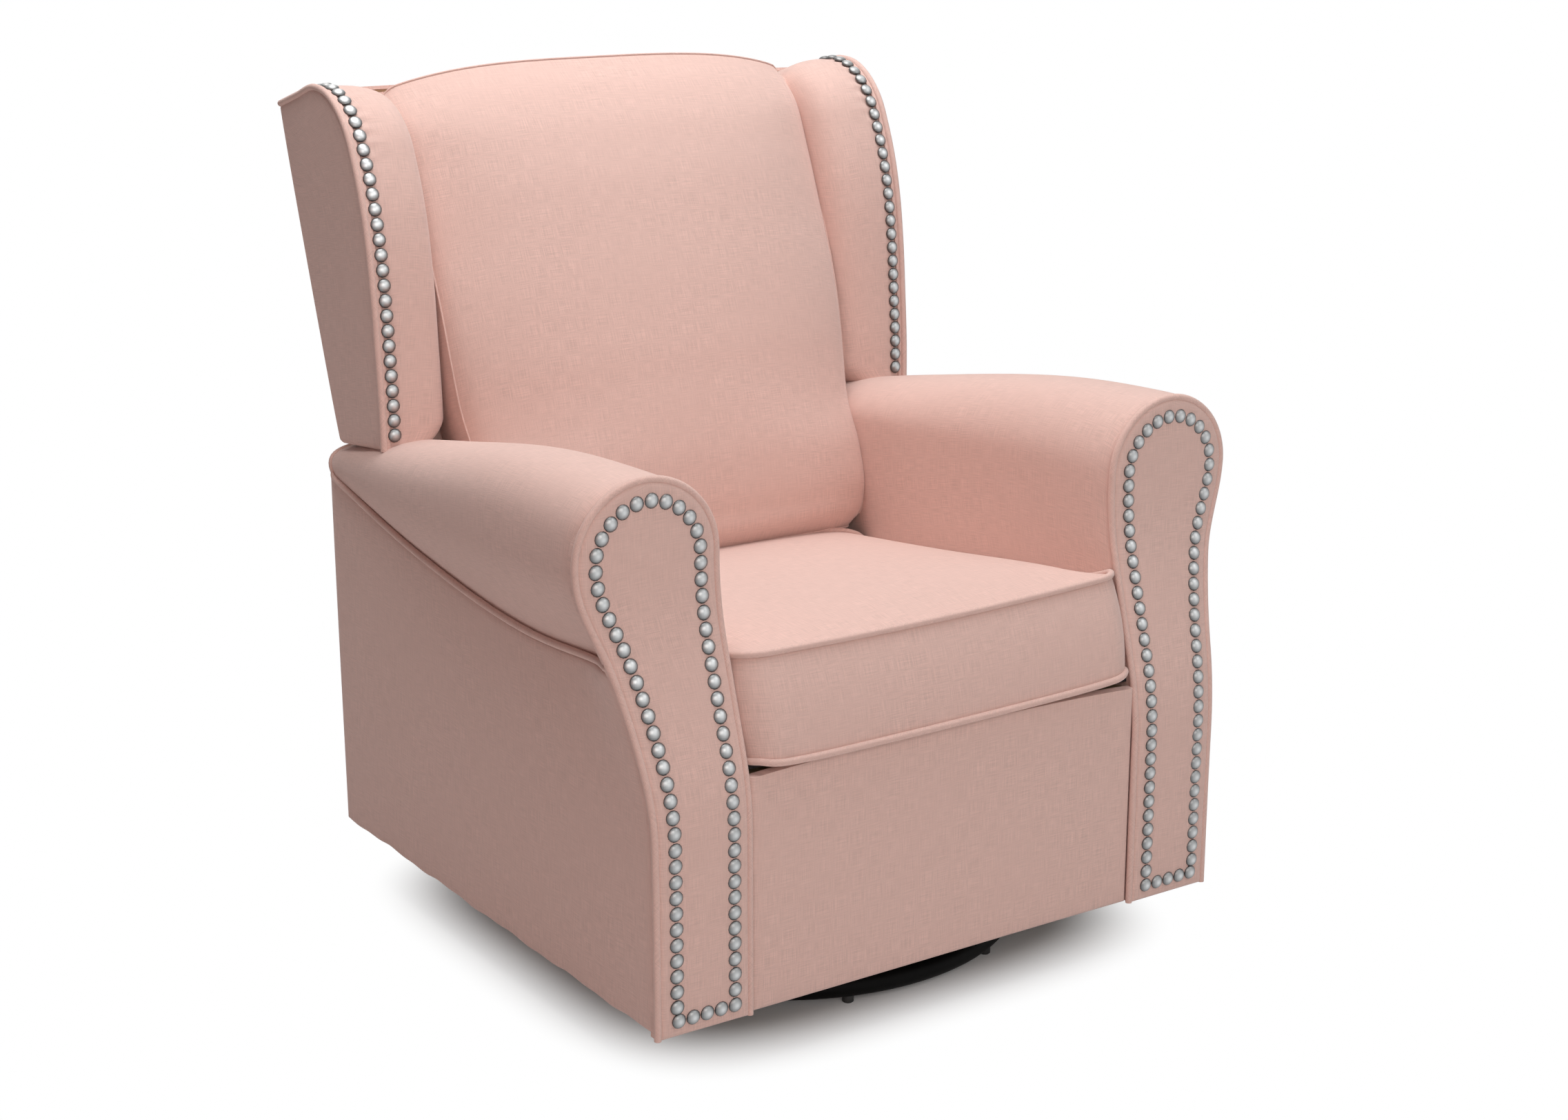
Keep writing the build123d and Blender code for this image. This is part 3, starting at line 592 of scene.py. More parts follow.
@cache
def welt_tree():
    """Cloth-covered cord along a path."""
    tree = Tree("welt_cord", {"Path": "Geometry", "Radius": "Float", "Sides": "Int", "Cloth": "Material"})
    path = tree.store_run(tree.add("MeshToCurve", Mesh=tree.given["Path"])[0], "run")
    ring = tree.add("CurvePrimitiveCircle", {"mode": "RADIUS"}, Resolution=tree.given["Sides"],
                    Radius=tree.given["Radius"])[0]
    ring = tree.store_run(ring, "turn")
    cord = tree.add("CurveToMesh", Curve=path, Profile_Curve=ring, Fill_Caps=True)[0]
    tree.close(tree.add("SetShadeSmooth", Geometry=cord)[0], tree.given["Cloth"])
    return tree


@cache
def nail_tree():
    """Nail heads on points, turned to face outwards."""
    tree = Tree("nail_row", {"Points": "Geometry", "Head": "Object", "Metal": "Material"})
    head = tree.add("ObjectInfo", {"transform_space": "ORIGINAL"}, Object=tree.given["Head"])["Geometry"]
    facing = tree.add("InputNamedAttribute", {"data_type": "FLOAT_VECTOR"}, Name="facing")["Attribute"]
    turn = tree.add("FunctionNodeAlignRotationToVector", {"axis": "Z"}, Vector=facing)[0]
    heads = tree.add("InstanceOnPoints", Points=tree.given["Points"], Instance=head, Rotation=turn)[0]
    tree.close(heads, tree.given["Metal"])
    return tree


def welt(name, path, radius=None, closed=False, sides=12):
    """A welt along row-frame points."""
    radius = radius or bpy.context.scene.chair_trim.welt_radius
    count = len(path)
    edges = [(i, i + 1) for i in range(count - 1)] + ([(count - 1, 0)] if closed else [])
    piece = welt_tree().run(name, path, edges, {}, {"Radius": radius, "Sides": sides, "Cloth": linen()})
    mesh = piece.data
    corner = np.zeros(len(mesh.loops), np.int32)
    mesh.loops.foreach_get("vertex_index", corner)
    at = {}
    for key in ("run", "turn"):
        data = np.zeros(len(mesh.vertices), np.float32)
        mesh.attributes[key].data.foreach_get("value", data)
        mesh.attributes.remove(mesh.attributes[key])
        at[key] = data[corner]
    uv = np.stack([at["turn"] + at["run"], at["run"] - at["turn"]], -1) * math.sqrt(0.5)
    mesh.uv_layers.new(name="weave").data.foreach_set("uv", uv.astype(np.float32).ravel())
    return dress(piece)


def nail_head():
    """One domed head with a turned-down rim."""
    trim = bpy.context.scene.chair_trim
    around, dome = trim.nail_sides, 0.97
    shares = np.array([0.32, 0.58, 0.80, 0.94, 1.0, dome])
    heights = trim.nail_rise * np.sqrt(1 - (shares * dome) ** 2)
    heights[-1] = -0.4 * MM
    angle = np.arange(around) * 2 * math.pi / around
    ring = np.stack([np.cos(angle), np.sin(angle), np.ones(around)], -1)
    reach = np.stack([trim.nail_radius * shares, trim.nail_radius * shares, heights], -1)
    points = np.concatenate([[(0, 0, trim.nail_rise)], (reach[:, None] * ring).reshape(-1, 3)])
    index = 1 + np.arange(len(points) - 1).reshape(-1, around)
    index = np.concatenate([index, index[:, :1]], axis=1)
    faces = [(0, a, b) for a, b in zip(index[0], index[0, 1:])] + quads(index, True).tolist()
    mesh = bpy.data.meshes.new("nail_head")
    mesh.from_pydata(points.tolist(), [], [[int(i) for i in face] for face in faces])
    # share out from each head's centre, kept as the mask of the nail metal's painted rim shade
    rim_shade_shares = np.concatenate([[0.0], np.repeat([*shares[:-1], 1.0], around)])
    mesh.attributes.new("rim", "FLOAT", "POINT").data.foreach_set("value", rim_shade_shares)
    mesh.shade_smooth()
    head = bpy.data.objects.new("nail_head", mesh)
    bpy.context.scene.collection.objects.link(head)
    return head


# Arms

def face_depth(z):
    """How far the arm front's face steps back at a height."""
    def ramp(t):
        soft = (t + LEAN_BEND) ** 2 / (4 * LEAN_BEND)
        return np.where(t < -LEAN_BEND, 0, np.where(t > LEAN_BEND, t, soft))
    z = np.asarray(z, float)
    return LEAN_DEPTH / (LEAN_END - LEAN_START) * (ramp(z - LEAN_START) - ramp(z - LEAN_END))


ROLL_X = ROLL_OUT - ROLL_RADIUS
ROLL_Z = ARM_TOP - ROLL_RADIUS


def outline_outer(z):
    """Outer edge of the arm front at a height below the roll's middle."""
    neck_x = ARM_OUTER + (ROLL_OUT - ARM_OUTER) * NECK_SHARE
    heights = (0, NECK[0] - 40, NECK[0] + 10, NECK[1], ROLL_Z - 12, ROLL_Z)
    edges = (ARM_OUTER, ARM_OUTER, ARM_OUTER + 0.6, neck_x, ROLL_OUT - 0.8, ROLL_OUT)
    return ease(heights, edges, z)


def front_edges(z):
    """Inner and outer edges of the arm front at a height."""
    z = np.asarray(z, float)
    half = np.sqrt(np.clip(ROLL_RADIUS ** 2 - np.clip(z - ROLL_Z, 0, None) ** 2, 0, None))
    lower = PANEL_INNER + (ROLL_X - ROLL_RADIUS - PANEL_INNER) * blend_in(z, NECK[0], ROLL_Z)
    inner = np.where(z > ROLL_Z, ROLL_X - half, lower)
    outer = np.where(z > ROLL_Z, ROLL_X + half, outline_outer(np.minimum(z, ROLL_Z)))
    return inner, outer


def front_outline(step=4.0):
    """Arm front's edge (x, z) from the inner foot over the roll to the outer foot."""
    rise = np.linspace(HEM, ROLL_Z, 80)
    inner, outer = front_edges(rise)
    turn = np.linspace(math.pi, 0, 60)[1:-1]
    over = np.stack([ROLL_X + ROLL_RADIUS * np.cos(turn), ROLL_Z + ROLL_RADIUS * np.sin(turn)], -1)
    path = np.concatenate([np.stack([inner, rise], -1), over, np.stack([outer, rise], -1)[::-1]])
    return spaced(path, step)


def arm_nails():
    """Places (x, z) of the nails on an arm front."""
    trim = bpy.context.scene.chair_trim
    inset = trim.nail_inset / MM
    side = front_outline(2.0)
    side = side + inset * right_of(side)
    side = side[side[:, 1] > HEM + inset * 0.8]
    loop = np.concatenate([side, side[:1]])
    return spaced(loop, trim.nail_pitch / MM)[:-1]


def arm_front(name, sign):
    """Padded panel on the front of an arm, dimpled at its nails."""
    top = np.sin(np.linspace(0, math.pi / 2, 34)) * ROLL_RADIUS + ROLL_Z
    rise = HEM + edge_steps(ROLL_Z - HEM, 4.0)
    rise = rise[rise < ROLL_Z - 1]
    heights = np.concatenate([rise, top[:-1], [ARM_TOP - 0.02]])
    inner, outer = front_edges(heights)
    share = edge_steps(ARM_WIDTH, 3.0) / ARM_WIDTH
    x = inner[:, None] + (outer - inner)[:, None] * share
    z = np.broadcast_to(heights[:, None], x.shape)
    round_gap = ROLL_RADIUS - np.hypot(x - ROLL_X, z - ROLL_Z)
    edge = np.minimum(x - inner[:, None], outer[:, None] - x)
    edge = np.where(z > ROLL_Z, round_gap, edge)
    edge = np.clip(np.minimum(edge, z - HEM + 2), 0, None)
    nails = arm_nails()
    away = np.min(np.hypot(x[..., None] - nails[:, 0], z[..., None] - nails[:, 1]), axis=-1)
    padding, dimple, dimple_reach = 3.2, 1.5, 8.5
    puff = padding * (1 - np.exp(-edge / 12.0)) - dimple * np.exp(-(away / dimple_reach) ** 2)
    face = place(x, face_depth(z) + rolled(edge) - puff, z)
    back = place(x, face_depth(z) + 16.0, z)
    cover(name + "_arm_front_cover", name + "_arm_front", face, back, (1, 60, 0.35, 0), sign)


def roll_measures(d):
    """Top, seam, outermost and side heights of the arm roll at a depth."""
    share = np.clip(np.asarray(d, float) / ARM_END, 0, 1)
    top, seam, side = [ARM_TOP * ease(ROLL_STATIONS, s, share) for s in (ROLL_TOPS, ROLL_SEAMS, ROLL_SIDES)]
    outer = ARM_INNER + ARM_WIDTH * ease(ROLL_STATIONS, ROLL_WIDTHS, share)
    return top, seam, outer, side


def seam_x(d):
    """Half width of the roll's lower seam, which flares out to the arm front."""
    flare = outline_outer(ARM_TOP * ROLL_SEAMS[0]) - ARM_OUTER
    return ARM_OUTER + flare * np.exp(-(np.asarray(d, float) / FLARE_REACH) ** 2)


def roll_ring(d):
    """Points (x, z) round the arm roll's cover, from inside the seat to the lower seam."""
    top, seam, outer, side = (v[..., None] for v in roll_measures(d))
    ridge = (ARM_INNER + outer) / 2
    wall = np.linspace(0, 1, 40)[:-1]
    quarter = np.linspace(0, math.pi / 2, 26)
    under = np.linspace(0, 1, 30)[1:]
    square = 1 - 0.24 * blend_in(d, 0.0, 90.0)[..., None]
    lower = np.broadcast_to(seam_x(d)[..., None], top.shape)
    rise = 1 - under
    swell = ROLL_UNDER * (2 - rise) * rise + (1 - ROLL_UNDER) * (3 - 2 * rise) * rise * rise
    x = np.concatenate([
        np.broadcast_to(np.full(wall.shape, ARM_INNER), (len(top), len(wall))),
        ridge - (ridge - ARM_INNER) * np.cos(quarter)[:-1],
        ridge + (outer - ridge) * np.sin(quarter) ** square,
        lower + (outer - lower) * swell], axis=1)
    z = np.concatenate([
        ROLL_FOOT + (side - ROLL_FOOT) * wall,
        side + (top - side) * np.sin(quarter)[:-1],
        side + (top - side) * np.clip(np.cos(quarter), 0, 1) ** square,
        seam + (side - seam) * rise], axis=1)
    for _ in range(6):
        x[:, 1:-1] = (x[:, :-2] + 2 * x[:, 1:-1] + x[:, 2:]) / 4
        z[:, 1:-1] = (z[:, :-2] + 2 * z[:, 1:-1] + z[:, 2:]) / 4
    return x, z


def arm_roll(name, sign):
    """Rolled arm top with its padded inner face, drawn in at the arm front's welt."""
    start = face_depth(roll_ring(np.zeros(1))[1][0]) + 5.0
    share = np.concatenate([[0, 0.002, 0.005, 0.01, 0.018, 0.03, 0.045], np.linspace(0.065, 1, 90)])
    d = start + (ARM_END - 1.0 - start) * share[:, None]
    x, z = np.zeros(d.shape), np.zeros(d.shape)
    for k in range(d.shape[1]):
        x[:, k], z[:, k] = (ring[:, k] for ring in roll_ring(d[:, k]))
    normal = np.stack([np.gradient(z, axis=1), -np.gradient(x, axis=1)], -1)
    normal /= np.linalg.norm(normal, axis=2)[..., None]
    outside = np.linspace(0, 1, d.shape[1])[None, :]
    padding, draw_in, draw_reach = 2.5, 6.0, 9.0
    swell = padding - draw_in * np.exp((start - d) / draw_reach) - rolled(ARM_END - d, 12.0, 9.0)
    swell = swell * blend_in(outside, 0.0, 0.3) * blend_in(1 - outside, 0.0, 0.06)
    x, z = x - normal[..., 0] * swell, z - normal[..., 1] * swell
    closing_x = np.tile([ARM_OUTER - 16, ARM_INNER + 34, ARM_INNER + 30], (len(d), 1))
    shelf = roll_measures(d[:, -1])[1] + 4.0 - 12.0 * blend_in(d[:, -1], ARM_END - 60, ARM_END)
    closing_z = np.stack([shelf, shelf, np.full(len(d), ROLL_FOOT)], -1)
    closing_d = np.repeat(d[:, -1:], 3, axis=1)
    points = place(*[np.concatenate(pair, 1) for pair in ((x, closing_x), (d, closing_d), (z, closing_z))])
    points[..., 2] += ripple(points, 95, 0.5, sign) * MM
    piece = tube(name + "_arm_roll", on_side(points, sign), linen(), 60)
    dress(piece, [name + "_arm_pad"])


def outside_arm(name, sign):
    """Flat cover on the outside of an arm, flared at the front and turned under at the hem."""
    along = edge_steps(ARM_REAR, 9.0)
    along = along / along[-1]
    rise = edge_steps(400.0, 9.0) / 400.0
    share, up = np.meshgrid(along, rise)
    d = share * ARM_REAR
    for _ in range(2):
        seam = roll_measures(np.minimum(d, ARM_END))[1] - 3.0 + 6.0 * blend_in(d, ARM_END - 40, ARM_END)
        z = HEM + (seam - HEM) * up
        first = face_depth(z) + 5.0
        d = first + (ARM_REAR - first) * share
    flare = np.clip(outline_outer(np.minimum(z, ROLL_Z)) - ARM_OUTER, 0, None)
    edge = np.minimum(np.minimum(d - first, ARM_REAR - d), np.minimum(z - HEM, seam - z))
    x = ARM_OUTER + flare * np.exp(-((d - first) / FLARE_REACH) ** 2) - rolled(edge) + 1.2 * (1 - np.exp(-edge / 40.0))
    hem = np.exp(-(z - HEM) / 12.0)
    z = z + hem * (1.1 * np.sin(d / 23.0) + 0.8 * np.sin(d / 9.7 + 1.0))
    back = place(ARM_OUTER - 11.0, d, z)
    cover(name + "_outside_arm_cover", name + "_outside_arm", place(x, d, z), back, (0, 150, 0.5, 2 + sign), sign)


def arm_welts(name, sign):
    """Welts round the arm front and along the roll's lower seam."""
    edge = front_outline(4.0)
    radius = bpy.context.scene.chair_trim.welt_radius
    path = place(edge[:, 0], face_depth(edge[:, 1]) + 2.5, edge[:, 1])
    welt(name + "_arm_front_welt", on_side(path, sign))
    d = np.linspace(10.0, ARM_END - 5, 150)
    seam = roll_measures(d)[1]
    step_back = face_depth(ARM_TOP * ROLL_SEAMS[0]) * np.exp(-d / 40)
    tucked, proud = -0.6, 1.15
    proud = (tucked + (proud - tucked) * blend_in(d, 8.0, 32.0)) * radius / MM
    side = place(seam_x(d) + proud, d + step_back, seam + 0.5)
    end_x, end_z = roll_ring(np.array([ARM_END]))
    end = place(end_x[0], ARM_END - 2.0, end_z[0])[::-1]
    end = end[(end[:, 2] > (LEDGE + 6) * MM)]
    path = np.concatenate([side, end[2:]])
    for _ in range(3):
        path[1:-1] = (path[:-2] + 2 * path[1:-1] + path[2:]) / 4
    welt(name + "_arm_seam_welt", on_side(spaced(path, 4.0 * MM), sign))


# Back frame: across, up along the rear face, and forward from it

def back_place(x, up, forward):
    """Row-frame points from measures in the raked back."""
    up, forward = np.asarray(up, float), np.asarray(forward, float)
    d = BACK_FOOT[0] + up * math.sin(BACK_RAKE) - forward * math.cos(BACK_RAKE)
    return place(x, d, BACK_FOOT[1] + up * math.cos(BACK_RAKE) + forward * math.sin(BACK_RAKE))


def up_back(z):
    return (np.asarray(z, float) - BACK_FOOT[1]) / math.cos(BACK_RAKE)


def rear_depth(z):
    return BACK_FOOT[0] + (np.asarray(z, float) - BACK_FOOT[1]) * math.tan(BACK_RAKE)


# Wings

def wing_path():
    """Front and top edge (d, z) of a wing, from its foot to the rear corner."""
    return smooth_path(WING_PATH, 2.8)


def wing_rear(count):
    """Points (d, z) on the wing's rear edge that face the front edge's points."""
    z = np.linspace(WING_FOOT - 9, BACK_TOP - 72, count)
    return np.stack([rear_depth(z), z], -1)


def wing_nails():
    """Places (d, z) of the nails along a wing's front edge, and the way each faces."""
    path = spaced(wing_path(), bpy.context.scene.chair_trim.nail_pitch / MM)
    facing = -right_of(path)
    run = lengths(path)
    keep = (run > 2) & (run < run[-1] - 78)
    return path[keep], facing[keep]


def wing_pad(name, sign):
    """Padded front edge and inner face of a wing."""
    path = wing_path()
    inward = right_of(path)
    rear = wing_rear(len(path)) - [26, 0]
    wide = ARM_OUTER - WING_INNER + 1.5
    across = np.array([0.02, 0.05, 0.10, 0.16, 0.22, 0.28, 0.34, 0.40, 0.46, 0.52, 0.58, 0.64, 0.70, 0.76, 0.82,
                       0.87, 0.91, 0.945, 0.97, 0.988, 1.0, 1.0, 1.0])
    back = np.array([6, 3.5, 1.6, 0.6, 0, -0.3, -0.3, 0, 0.4, 1.0, 1.8, 2.9, 4.4, 6.4, 9.2, 12.6, 16.6, 21.5, 27,
                     33, 40, 48, 58])
    x = ARM_OUTER - wide * across
    points, rails = [], np.linspace(0, 1, 14)[1:]
    nails, _ = wing_nails()
    for k in range(len(path)):
        reach = max(1.0, np.linalg.norm(rear[k] - path[k]))
        shrink = min(1.0, reach / 80.0)
        front = path[k] + inward[k] * (back * shrink)[:, None]
        gap = np.min(np.linalg.norm(nails - path[k], axis=1))
        pucker = 1 + 1.6 * math.exp(-((path[k, 1] - WING_PUCKER) / 42.0) ** 2)
        reach_x = np.where(x < WING_NAIL_LINE, 8.5 + 5.0 * (pucker - 1), 8.5)
        dent = 1.3 * pucker * math.exp(-(gap / 6.5) ** 2) * np.exp(-((x - WING_NAIL_LINE) / reach_x) ** 2)
        front = front + inward[k] * dent[:, None]
        inner = front[-1] + (rear[k] - front[-1]) * rails[:, None]
        side = np.concatenate([front, inner])
        bulge = 5.0 * np.sin(np.linspace(0, math.pi, len(rails) + 4)[3:-1])
        ring_x = np.concatenate([x, ARM_OUTER - wide - bulge * 0.2])
        ring_x = ring_x + rolled(path[k, 1] - WING_FOOT, 30.0, 22.0) * blend_in(ARM_OUTER - ring_x, 0.3 * wide, wide)
        closing = np.array([rear[k], path[k] + inward[k] * 10 * shrink])
        ring_x = np.concatenate([ring_x, [ARM_OUTER - 11, ARM_OUTER - 11]])
        side = np.concatenate([side, closing])
        behind = rear_depth(side[:, 1]) - 4.0 * blend_in(920.0 - side[:, 1], 5.0, 30.0)
        side[:, 0] = np.minimum(side[:, 0], behind)
        points.append(place(ring_x, side[:, 0], side[:, 1]))
    rows = np.array(points)
    rows[..., 0] += ripple(rows, 70, 0.4, sign) * MM
    piece = tube(name + "_wing_cover", on_side(rows, sign), linen(), 60)
    dress(piece, [name + "_wing_pad"])


def wing_panel(name, sign):
    """Flat outside cover of a wing."""
    path = wing_path()
    rear = wing_rear(len(path))
    steps = np.array([0, 0.006, 0.016, 0.03, 0.05, *np.linspace(0.08, 1, 24)])
    grid = path[:, None] + (rear - path)[:, None] * steps[None, :, None]
    gap = np.linalg.norm(grid - path[:, None], axis=2)
    gap = np.minimum(gap, grid[..., 1] - grid[:1, :, 1])
    x = ARM_OUTER - rolled(gap, 6.0, 4.0) + 1.0 * (1 - np.exp(-gap / 30.0))
    face = place(x, grid[..., 0], grid[..., 1])
    back = place(ARM_OUTER - 9.5, grid[..., 0], grid[..., 1])
    cover(name + "_wing_outside", name + "_wing_panel", face, back, (0, 120, 0.4, sign), sign)


def wing_welt(name, sign):
    path = wing_path()
    points = place(ARM_OUTER - 1.0, path[:, 0], path[:, 1])
    welt(name + "_wing_welt", on_side(points, sign))


# Panels between the arms and behind

def apron():
    """Cloth panel under the seat's front."""
    half = ARM_INNER - 1
    across = edge_steps(2 * half, 9.0) - half
    up = edge_steps(APRON_TOP - HEM, 9.0)
    x, z = np.meshgrid(across, up)
    z = HEM + z * (1 - (2.0 + 6.0 * np.abs(x / half) ** 3) / up[-1])
    edge = np.minimum(half - np.abs(x), z - HEM)
    d = 3.0 + rolled(edge) - 1.0 * (1 - np.exp(-edge / 40.0))
    cover("front_apron_cover", "front_apron", place(x, d, z), place(x, 15.0, z), (1, 130, 0.5, 0))


def rear_panel():
    """Cloth panel across the lower rear, turned forward over its top."""
    half = ARM_OUTER - 12
    across = edge_steps(2 * half, 12.0) - half
    up = HEM + edge_steps(LEDGE - HEM, 10.0)
    over = np.linspace(0, 1, 8)[1:]
    shelf = ARM_REAR - 6 - (ARM_REAR - 6 - rear_depth(LEDGE) - 2) * over
    z_line = np.concatenate([up, np.full(len(over), LEDGE)])
    d_line = np.concatenate([ARM_REAR - rolled(LEDGE - up) - rolled(up - HEM), shelf])
    x, z = np.meshgrid(across, z_line)
    d = np.broadcast_to(d_line[:, None], x.shape) - rolled(half - np.abs(x))
    inside = place(x, np.minimum(d, ARM_REAR - 8), np.minimum(z, LEDGE - 8))
    cover("lower_rear_cover", "lower_back_panel", place(x, d, z), inside, (1, 160, 0.6, 0))


def outside_back():
    """Rear cover of the back, turned forward over the top rail."""
    low_up, high_up = up_back(LEDGE - 18), up_back(BACK_TOP)
    up = low_up + edge_steps(high_up - low_up, 10.0)
    over = np.linspace(0, 1, 9)[1:]
    share = edge_steps(2 * BACK_HALF, 12.0) / BACK_HALF - 1
    u_line = np.concatenate([up, np.full(len(over), high_up + 1)])
    f_line = np.concatenate([-1.5 + rolled(high_up - up, 8, 6), 6 + 44 * over])
    foot = up_back(WING_LOW)
    narrow = ARM_INNER - 2 + (BACK_HALF - ARM_INNER + 2) * blend_in(u_line, foot - 17, foot - 9)
    half = np.where(f_line > 24, WING_INNER + 10, narrow)
    x = half[:, None] * share
    edge = half[:, None] - np.abs(x)
    f = f_line[:, None] + rolled(edge, 6, 4) * (f_line[:, None] < 5)
    face = back_place(x, np.broadcast_to(u_line[:, None], x.shape), f)
    inside = back_place(x, np.minimum(u_line, high_up - 3)[:, None] + 0 * x, np.maximum(f, 3.0))
    cover("outside_back_cover", "outside_back", face, inside, (1, 150, 0.6, 0))


# Cushions

def round_corners(x, y, half_x, half_y, radius):
    """Moves a rectangle's points so that its corners are round."""
    p = np.clip((np.abs(x) - (half_x - radius)) / radius, 0, 1)
    q = np.clip((np.abs(y) - (half_y - radius)) / radius, 0, 1)
    both = (p > 0) & (q > 0)
    new_x = np.sign(x) * (half_x - radius + radius * p * np.sqrt(1 - q * q / 2))
    new_y = np.sign(y) * (half_y - radius + radius * q * np.sqrt(1 - p * p / 2))
    return np.where(both, new_x, x), np.where(both, new_y, y)


def boxed_cushion(name, face, back, band, bulge):
    """Closed mesh of two equal grids and a band between their borders; returns it with the face's border."""
    rows, columns = face.shape[:2]
    count = rows * columns
    index = np.arange(count).reshape(rows, columns)
    loop = border_of(index)
    top, under = face.reshape(-1, 3)[loop], back.reshape(-1, 3)[loop]
    centre = (top + under).mean(0) / 2
    axis = np.cross(face[0, -1] - face[0, 0], face[-1, 0] - face[0, 0])
    axis /= np.linalg.norm(axis)
    out = (top + under) / 2 - centre
    out -= axis * (out @ axis)[:, None]
    tangent = np.roll(top, -1, 0) - np.roll(top, 1, 0)
    side = np.cross(tangent, axis)
    side /= np.linalg.norm(side, axis=1)[:, None]
    side *= np.sign((side * out).sum(1))[:, None]
    shares = np.arange(1, band) / band
    rings = [top + (under - top) * t + side * bulge * 4 * t * (1 - t) for t in shares]
    points = np.concatenate([face.reshape(-1, 3), back.reshape(-1, 3)] + rings)
    ids = [loop] + [2 * count + k * len(loop) + np.arange(len(loop)) for k in range(band - 1)] + [loop + count]
    ids = np.array([np.append(ring, ring[0]) for ring in ids])
    uv_face = grid_lengths(face).reshape(-1, 2)
    f1, f2, f3 = quads(index), quads(index + count, True), quads(ids, True)
    line = lengths(np.concatenate([top, top[:1]]))
    tall = np.linalg.norm(top - under, axis=1).mean()
    band_uv = np.stack(np.meshgrid(line, np.linspace(0, tall, band + 1)), -1).reshape(-1, 2)
    corner = np.arange((band + 1) * (len(loop) + 1)).reshape(band + 1, -1)
    uvs = np.concatenate([uv_face[f1.ravel()], uv_face[f2.ravel() - count], band_uv[quads(corner, True).ravel()]])
    faces = np.concatenate([f1, f2, f3])
    piece = mesh_object(name, points, faces.tolist(), uvs, linen(), 180)
    fix_normals(piece)
    return piece, loop, loop + count, np.arange(count, 2 * count)


def inflate(piece, pinned, limit):
    """Lets air pressure swell a cushion between its pinned seams, no further than a limit."""
    feel = bpy.context.scene.chair_cushions
    group = piece.vertex_groups.new(name="seams")
    group.add([int(i) for i in pinned], 1.0, "REPLACE")
    cloth = piece.modifiers.new("air", "CLOTH")
    for key, value in {"quality": 6, "mass": 0.35, "tension_stiffness": 12, "compression_stiffness": 12,
                       "bending_stiffness": 2.0, "use_pressure": True, "uniform_pressure_force": feel.pressure,
                       "vertex_group_mass": "seams"}.items():
        setattr(cloth.settings, key, value)
    cloth.settings.effector_weights.gravity = 0
    cloth.point_cache.frame_start, cloth.point_cache.frame_end = 1, feel.frames
    scene = bpy.context.scene
    for step in range(1, feel.frames + 1):
        scene.frame_set(step)
    shown = piece.evaluated_get(bpy.context.evaluated_depsgraph_get())
    old = points_of(piece.data)
    move = points_of(shown.to_mesh()) - old
    shown.to_mesh_clear()
    piece.modifiers.remove(cloth)
    piece.vertex_groups.remove(group)
    scene.frame_set(1)
    size = np.linalg.norm(move, axis=1)[:, None]
    move *= np.minimum(1, limit / np.maximum(size, 1e-9))
    ends = np.array([edge.vertices[:] for edge in piece.data.edges])
    links = np.bincount(ends.ravel(), minlength=len(old))[:, None]
    for _ in range(feel.smoothing):
        total = np.zeros_like(move)
        np.add.at(total, ends[:, 0], move[ends[:, 1]])
        np.add.at(total, ends[:, 1], move[ends[:, 0]])
        move = total / links
        move[pinned] = 0
    set_points(piece.data, old + move)


def subdivide(piece):
    """Applies one level of a subdivision surface."""
    modifier = piece.modifiers.new("smooth", "SUBSURF")
    modifier.levels = modifier.render_levels = 1
    shown = piece.evaluated_get(bpy.context.evaluated_depsgraph_get())
    mesh = bpy.data.meshes.new_from_object(shown)
    piece.modifiers.remove(modifier)
    old, piece.data = piece.data, mesh
    mesh.name = old.name
    bpy.data.meshes.remove(old)
    mesh.shade_smooth()


def seat_place(x, s, h):
    """Row-frame points from measures across, along and above the seat deck."""
    s, h = np.asarray(s, float), np.asarray(h, float)
    d = SEAT_FRONT[0] + s * math.cos(SEAT_PITCH) + h * math.sin(SEAT_PITCH)
    return place(x, d, SEAT_FRONT[1] - s * math.sin(SEAT_PITCH) + h * math.cos(SEAT_PITCH))


